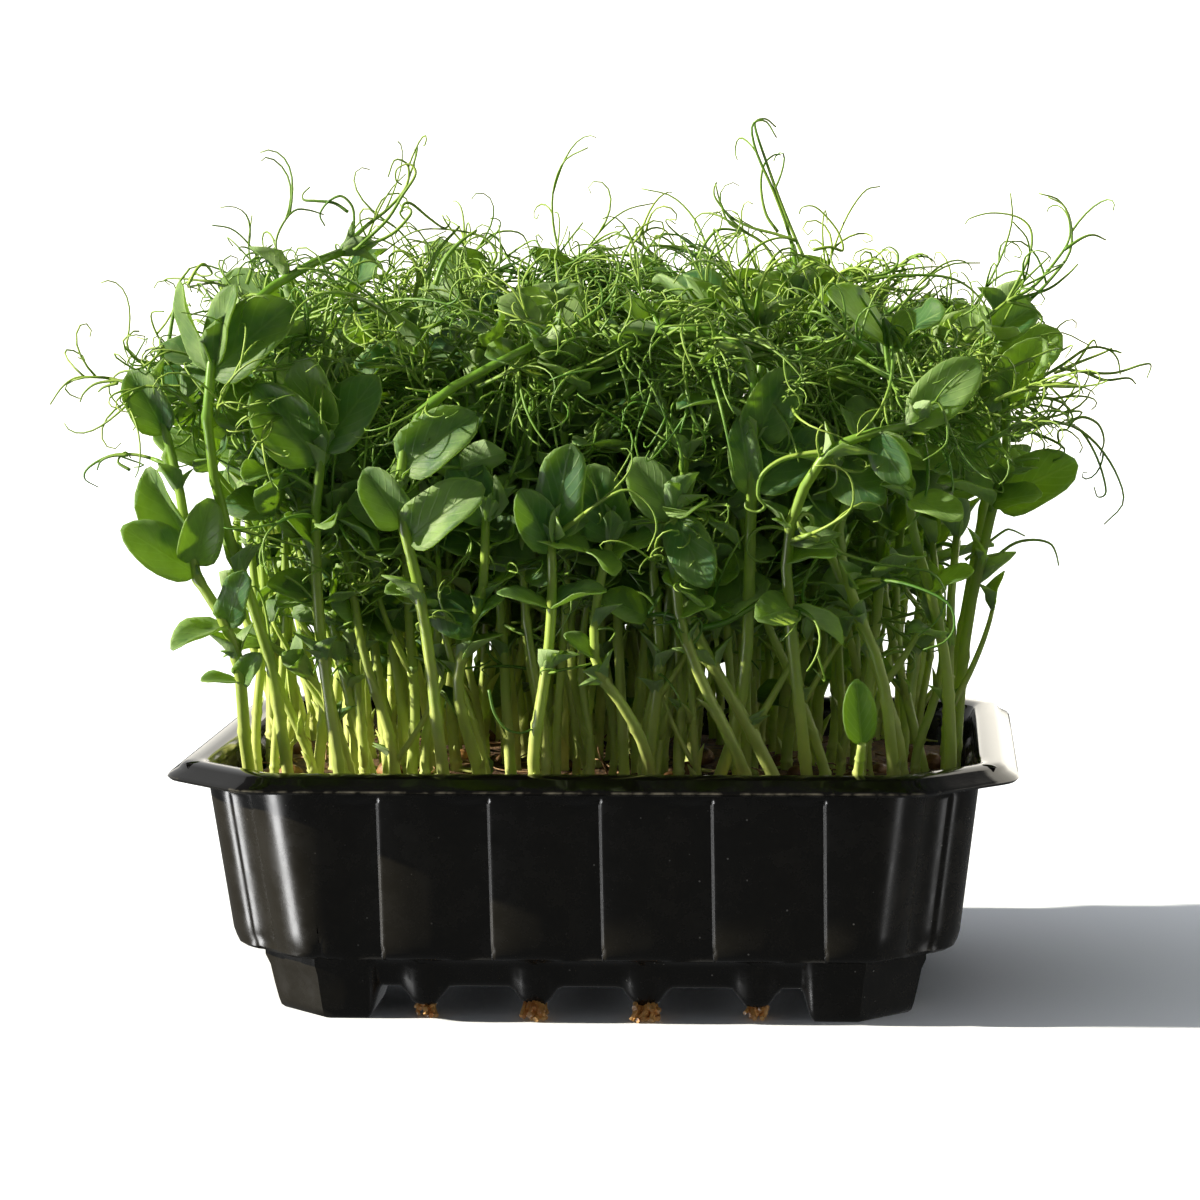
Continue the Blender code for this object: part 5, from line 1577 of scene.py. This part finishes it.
def addPairs(count, rows, levels, sizes, curls):
    rng = betweenRandom
    chosen = [path for path in stemPaths if rows[0] < path[len(path) // 2].y < rows[1]]
    chosen = [path for path in chosen if path[-1].z > levels[0] + 6]
    for _ in range(count):
        path = rng.choice(chosen)
        inside = [k for k, p in enumerate(path) if levels[0] < p.z < levels[1]]
        if not inside:
            continue
        share = min(0.98, (rng.choice(inside) + rng.random() * 0.9) / (len(path) - 1))
        turn = rng.uniform(-math.pi, math.pi)
        if rows[1] < 0:
            turn = rng.gauss(-math.pi / 2, 1.0)
        aim = Vector((math.cos(turn), math.sin(turn), rng.uniform(-0.2, 0.6))).normalized()
        stalk, leaves, fork = leafPair(rng, path, share, aim, rng.uniform(5, 15), sizes)
        if not withinReach([leaf["tip"] for leaf in leaves]):
            continue
        bunch = bunchAt(stalk[0].x)
        bunch["thin"].append((stalk, tapered(stalk, 0.6, 0.45)))
        bunch["leaves"] += [(leaf, rng.choice(("far", "cupped", "far"))) for leaf in leaves]
        if rng.random() < curls:
            addTendril("curl", bunch, fork, aim + scatter(rng, (-0.6, 0.6), (-0.6, 0.2), (-0.2, 0.6)))


def lowTangles():
    # knots of tendrils half way up the front stems
    rng = betweenRandom
    low, high = between["lowLevels"]
    front = [path for path in stemPaths if path[0].y < -8]
    for _ in range(between["lowHeads"]):
        inside = [p for p in rng.choice(front) if low < p.z < high]
        if inside:
            start = rng.choice(inside)
            heading = scatter(rng, (-1, 1), (-0.9, 0.2), (-0.3, 0.4))
            addTendril("knot", bunchAt(start.x), start, heading)


tangleHeads()
tendrilFans()
for row in pairRows:
    addPairs(**row)
lowTangles()

# tendrils that show by themselves in the picture
shownTendrils = {  # depth behind the tray's middle in mm, then points of the 1200-pixel picture
    "T1": (-44, (356, 249), (386, 221), (402, 196), (414, 178), (415, 169), (408, 164), (397, 169),
           (396, 180), (402, 185)),
    "T2": (-42, (353, 250), (389, 236), (408, 218), (411, 210), (405, 207), (400, 213), (406, 220),
           (411, 215)),
    "T3": (-42, (401, 212), (404, 204), (412, 204), (429, 218), (444, 228), (450, 222), (446, 215)),
    "T4": (-40, (353, 242), (354, 215), (350, 203), (340, 196), (327, 203), (320, 215), (325, 226)),
    "T5": (-38, (348, 212), (334, 203), (316, 201), (304, 200), (303, 194), (310, 187)),
    "T7": (-45, (435, 285), (444, 261), (460, 242), (477, 230)),
    "T8": (-40, (426, 279), (438, 251), (460, 226)),
    "T9": (-42, (493, 264), (496, 252), (481, 236), (441, 229), (411, 233), (380, 255)),
    "T10": (-20, (166, 365), (170, 334), (175, 304), (178, 285), (190, 268)),
    "T11": (-15, (188, 285), (196, 270), (204, 264), (212, 273), (206, 276), (198, 275), (195, 270)),
    "R2": (0, (778, 232), (766, 214), (761, 187), (764, 165), (774, 155), (781, 155)),
    "R3": (-2, (797, 241), (776, 234), (750, 227), (730, 216), (716, 199), (714, 189), (717, 182)),
    "R4": (-2, (809, 274), (803, 256), (797, 242), (781, 203), (766, 161), (756, 131), (756, 121),
           (766, 119), (776, 127)),
    "R5": (-6, (813, 250), (830, 247), (843, 250), (837, 230), (817, 208), (803, 207), (799, 214)),
    "R7": (-4, (738, 266), (758, 246), (778, 238), (797, 240)),
    "R8": (-8, (698, 258), (706, 242), (718, 230), (734, 230), (740, 234), (730, 238), (720, 236)),
    "R9": (-30, (837, 286), (860, 278), (884, 274), (896, 266), (898, 254), (890, 247), (882, 250)),
    "R10": (-34, (853, 282), (896, 276), (940, 276), (967, 286), (987, 309), (993, 337)),
    "R11": (-30, (965, 341), (985, 320), (1007, 301)),
    "R11a": (-30, (1007, 301), (1015, 286), (1027, 262), (1032, 242), (1029, 226), (1015, 216), (991, 213),
             (971, 218), (965, 224)),
    "R11b": (-32, (1007, 301), (1034, 286), (1058, 258), (1068, 242), (1070, 226), (1064, 206),
             (1048, 197)),
    "R11c": (-32, (1064, 250), (1082, 238), (1094, 235), (1106, 240)),
    "R11d": (-30, (1007, 301), (1023, 282), (1050, 256)),
    "R11e": (-32, (1007, 301), (1034, 309), (1042, 321), (1030, 329)),
    "R11f": (-29, (1007, 301), (1046, 290), (1066, 276), (1078, 264)),
    "R12a": (10, (1054, 373), (1074, 365), (1092, 341), (1097, 346)),
    "R12b": (8, (1060, 368), (1085, 372), (1114, 373), (1141, 365), (1151, 365), (1147, 378)),
    "R12c": (10, (1060, 370), (1085, 360), (1105, 352), (1112, 348)),
    "R12d": (9, (1085, 372), (1105, 380), (1128, 378), (1136, 384)),
    "R13": (-22, (1015, 412), (1034, 420), (1066, 424), (1082, 432), (1098, 460), (1106, 491), (1098, 497),
            (1094, 487)),
    "R13b": (-22, (1066, 424), (1082, 417), (1098, 424), (1104, 440), (1100, 456)),
    "R14": (-52, (562, 396), (600, 365), (655, 341), (702, 337), (734, 341), (752, 357), (750, 388),
            (745, 412)),
    "R15": (-56, (746, 408), (774, 406), (797, 412), (821, 424), (833, 444)),
    "R16": (-66, (821, 452), (805, 454), (781, 460), (762, 475), (758, 495), (765, 506), (757, 512),
            (746, 508), (746, 500)),
    "R17": (-66, (821, 448), (829, 454), (837, 472), (833, 487), (813, 495)),
    "R18": (-63, (819, 540), (805, 534), (798, 522), (803, 514), (811, 516), (811, 525), (803, 528),
            (797, 534), (785, 530), (775, 527), (759, 529), (750, 538), (748, 552), (758, 561),
            (770, 562)),
    "R19": (-60, (835, 548), (845, 554), (875, 563), (908, 568), (932, 573), (945, 593), (938, 619),
            (918, 636)),
    "R20": (-55, (699, 629), (726, 622), (749, 609), (772, 596), (799, 583), (819, 566)),
    "R21": (-52, (656, 606), (643, 594), (620, 591), (596, 593)),
    "L1": (-52, (200, 512), (222, 524), (252, 533), (285, 542), (330, 551), (405, 548)),
    "L2": (-55, (285, 575), (300, 585), (315, 600), (322, 598)),
    "L3": (-62, (489, 690), (494, 712), (505, 728), (520, 733), (533, 729)),
    "L4": (-52, (128, 455), (112, 456), (101, 461), (97, 470)),
    "L5": (-52, (130, 470), (118, 462), (125, 452), (131, 458)),
    "L6": (-47, (130, 381), (112, 381), (95, 384), (84, 393), (80, 402)),
    "L7": (-47, (118, 383), (104, 387), (98, 392)),
    "RL1": (-28, (965, 560), (985, 545), (1004, 531), (1012, 530), (1025, 536)),
    "RL2": (-28, (975, 556), (990, 556), (1001, 553)),
    "S1": (-52, (290, 378), (292, 345), (305, 318), (322, 302), (335, 295)),
    "S2": (-51, (296, 385), (300, 350), (314, 325), (330, 305)),
    "S3": (-50, (311, 372), (318, 345), (330, 322), (345, 300)),
    "S4": (-50, (325, 365), (330, 340), (340, 318), (352, 300)),
}
stoutTendrils = {"R11": 0.75, "R14": 1.0, "R15": 0.7, "T7": 0.7, "T8": 0.6, "R4": 0.5, "R18": 0.7,
                 "R16": 0.6, "R20": 0.8, "L1": 0.55, "S1": 0.55, "S2": 0.5, "S3": 0.5, "S4": 0.5,
                 "T10": 0.6}


def addShownTendrils():
    for key, (depth, *spots) in shownTendrils.items():
        points = [fromPicture(spot, depth + 0.6 * k) for k, spot in enumerate(spots)]
        run = smoothPath(points, 4 * len(points))
        wide = stoutTendrils.get(key, 0.4)
        bunchAt(points[0].x)["thin"].append((run, tapered(run, wide, 0.35 * wide + 0.04)))


addShownTendrils()
for number, bunch in enumerate(bunches, 1):
    growthPiece(f"leafyFill{number:02d}", betweenRandom, bunch["thick"], bunch["thin"], bunch["leaves"])
print("growth between laid out")


def finishGrowth():
    curves = [thing for _, things, _ in growthPieces for thing in things if thing.type == "CURVE"]
    pick(*curves)
    bpy.ops.object.convert(target="MESH")
    made = []
    for name, things, node in growthPieces:
        piece = joined(name, things)
        made.append(piece)
        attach(piece, "root")
        if node:
            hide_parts(node)
    pick(*made)
    editMode()
    bpy.ops.mesh.select_all(action="SELECT")
    bpy.ops.mesh.remove_doubles(threshold=0.000005)
    objectMode()
    for model in leafModels.values():
        bpy.data.objects.remove(model, do_unlink=True)
    return made


greens = finishGrowth()
print("growth made:", sum(len(piece.data.polygons) for piece in greens), "faces")


# growing mat: coir block, loose fibres, old seeds and the roots that come out below

matShape = {"levels": (((66.9, 44.3), 13.0, 8.4), ((69.1, 45.9), 13.0, 15.9), ((77.3, 53.0), 18.5, 16.4),
                       ((81.1, 57.5), 18.5, 48.9)), "voxel": 2.6, "roughness": 1.3, "fibres": 260,
            "seenSeeds": ((-70, -22, 50), (18, -36, 51), (-58, -8, 50)), "seeds": 9, "seedRadius": 3.4,
            "smallSeeds": 24, "holeY": 43.2, "strands": 20, "rearStrands": 8, "solidDraws": 48,
            "cornerCut": 116, "fibreFloor": 48.4, "fibreSeed": 8, "crumbsOver": 47.6}


def matRing(half, cut, height):
    corners = ((-1, -1), (1, -1), (1, 1), (-1, 1))
    ring = []
    for sx, sy in corners:
        onY = (sx * half[0], sy * (half[1] - cut), height)
        onX = (sx * (half[0] - cut), sy * half[1], height)
        ring += [onY, onX] if sx * sy > 0 else [onX, onY]
    return ring


def makeBlock():
    block = ringTube("matBlock", [matRing(*level) for level in matShape["levels"]], "NGON", 0.01)
    editMode()
    bpy.ops.mesh.select_all(action="SELECT")
    bpy.ops.mesh.normals_make_consistent(inside=False)
    objectMode()
    applyModifier(block, "REMESH", mode="VOXEL", voxel_size=matShape["voxel"] * mm)
    top = block.vertex_groups.new(name="top")
    top.add([v.index for v in block.data.vertices if v.co.z > matShape["crumbsOver"] * mm], 1.0, "REPLACE")
    clumps = bpy.data.textures.new("coirClumps", "CLOUDS")
    clumps.noise_scale = 0.0045
    clumps.noise_depth = 3
    applyModifier(block, "DISPLACE", texture=clumps, strength=matShape["roughness"] * 2 * mm,
                  mid_level=0.55, direction="Z", vertex_group="top")
    block.data.materials.append(coirEarth)
    smoothed(block, 60)
    return block


def makeSeeds(rng, feet):
    # the same seeds as the solid has, then smaller old ones; each is a wrinkled ball, half sunk
    for _ in range(matShape["solidDraws"]):
        rng.random()  # spent on the solid's root tufts
    places = [Vector(place) for place in matShape["seenSeeds"]]
    while len(places) < matShape["seeds"]:
        place = Vector((rng.uniform(-72, 72), rng.uniform(-48, 48), layout["matTop"] + 0.6))
        offStems = all((place.to_2d() - foot).length > matShape["seedRadius"] + 3.2 for foot in feet)
        offSeeds = all((place - other).length > 2.2 * matShape["seedRadius"] for other in places)
        if offStems and offSeeds:
            places.append(place)
    sizes = [matShape["seedRadius"]] * len(places)
    for _ in range(matShape["smallSeeds"]):
        places.append(Vector((rng.uniform(-76, 76), rng.uniform(-52, 52),
                              layout["matTop"] + rng.uniform(-0.2, 0.8))))
        sizes.append(rng.uniform(2.0, 3.0))
    pickNone()
    bpy.ops.mesh.primitive_ico_sphere_add(subdivisions=2, radius=1.0)
    seed = rename("seed")
    wrinkles = bpy.data.textures.new("seedWrinkles", "CLOUDS")
    wrinkles.noise_scale = 0.55
    applyModifier(seed, "DISPLACE", texture=wrinkles, strength=0.28, mid_level=0.5)
    seed.data.materials.append(seedSkin)
    bpy.ops.object.shade_smooth()
    made = []
    for place, size in zip(places, sizes):
        if abs(place.x) + abs(place.y) > matShape["cornerCut"]:
            continue
        turned = Matrix.Rotation(rng.uniform(0, 6.28), 4, "Z") @ Matrix.Rotation(rng.uniform(0, 6.28), 4, "X")
        squash = Matrix.Diagonal((size * mm, size * 0.94 * mm, size * 0.86 * mm, 1))
        made.append(copied(seed, Matrix.Translation(place * mm) @ squash @ turned))
    bpy.data.objects.remove(seed, do_unlink=True)
    return made


def makeStrands(rng, feet):
    fibres, roots = [], []
    for _ in range(matShape["fibres"]):
        at = Vector((rng.uniform(-77, 77), rng.uniform(-53, 53), layout["matTop"] + 0.2))
        if abs(at.x) + abs(at.y) > matShape["cornerCut"]:
            continue
        heading = scatter(rng, (-1, 1), (-1, 1), (-0.1, 0.35))
        run = curlRun(rng, at, heading, rng.uniform(6, 15), 6, rng.uniform(0.05, 0.4), 0.5)
        if all(p.z > matShape["fibreFloor"] for p in run):
            fibres.append((run, tapered(run, 0.24, 0.12)))
    # pale young roots run over the mat from each stem's foot
    for foot in feet:
        for _ in range(2):
            turn = rng.uniform(0, 6.28)
            start = Vector((foot.x, foot.y, layout["matTop"] + 0.7))
            run = []
            for k in range(5):
                along = Vector((math.cos(turn + 0.2 * k), math.sin(turn + 0.2 * k), 0)) * 1.7 * k
                run.append(start + along - Vector((0, 0, 0.28 * k)))
            roots.append((run, tapered(run, 0.42, 0.2)))
    return fibres, roots


def makeTufts(rng):
    # root tufts hang out of the drain holes; the outer ones are set back and narrower
    tufts = []
    for side, count in ((-1, matShape["strands"]), (1, matShape["rearStrands"])):
        for centre in trayShape["valleyCentres"]:
            back = 3.2 if centre > 24 else 0.0
            for x in (-centre, centre):
                for _ in range(count):
                    spread = rng.uniform(-1, 1) * (0.75 if back else 1.0)
                    level = rng.uniform(1.0, 4.4)
                    top = Vector((x + spread * 1.3, side * (matShape["holeY"] + rng.uniform(-1, 1)), 4.6))
                    bendX = x + spread * 2.4 + rng.uniform(-0.5, 0.5)
                    bend = Vector((bendX, side * (rng.uniform(46.0, 49.0) - back), level))
                    endX = x + spread * 2.6 + rng.uniform(-0.8, 0.8)
                    endY = side * (rng.uniform(48.6, 50.6) - back)
                    end = Vector((endX, endY, max(0.7, level - rng.uniform(0.6, 3.0))))
                    run = []
                    for p in smoothPath([top, bend, end], 6):
                        wavyX = p.x + rng.uniform(-0.25, 0.25)
                        run.append(Vector((wavyX, p.y, max(0.7, p.z + rng.uniform(-0.2, 0.2)))))
                    tufts.append((run, [rng.uniform(0.4, 0.72) for _ in run]))
    return tufts


def makeMat():
    rng = random.Random(layout["seed"] + 1)
    feet = [shoot["stem"][0].to_2d() for shoot in shoots]
    seeds = makeSeeds(rng, feet)
    strandRandom = random.Random(matShape["fibreSeed"])
    fibres, roots = makeStrands(strandRandom, feet)
    strands = [tubes("coirFibres", fibres, 0, fibreSkin), tubes("youngRoots", roots, 1, stemSkin),
               tubes("rootTufts", makeTufts(strandRandom), 1, rootSkin)]
    pick(*strands)
    bpy.ops.object.convert(target="MESH")
    return joined("growingMat", [makeBlock(), *seeds, *strands])


growingMat = makeMat()
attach(growingMat, "root")
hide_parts("growing_mat")
print("mat made:", len(growingMat.data.polygons), "faces")
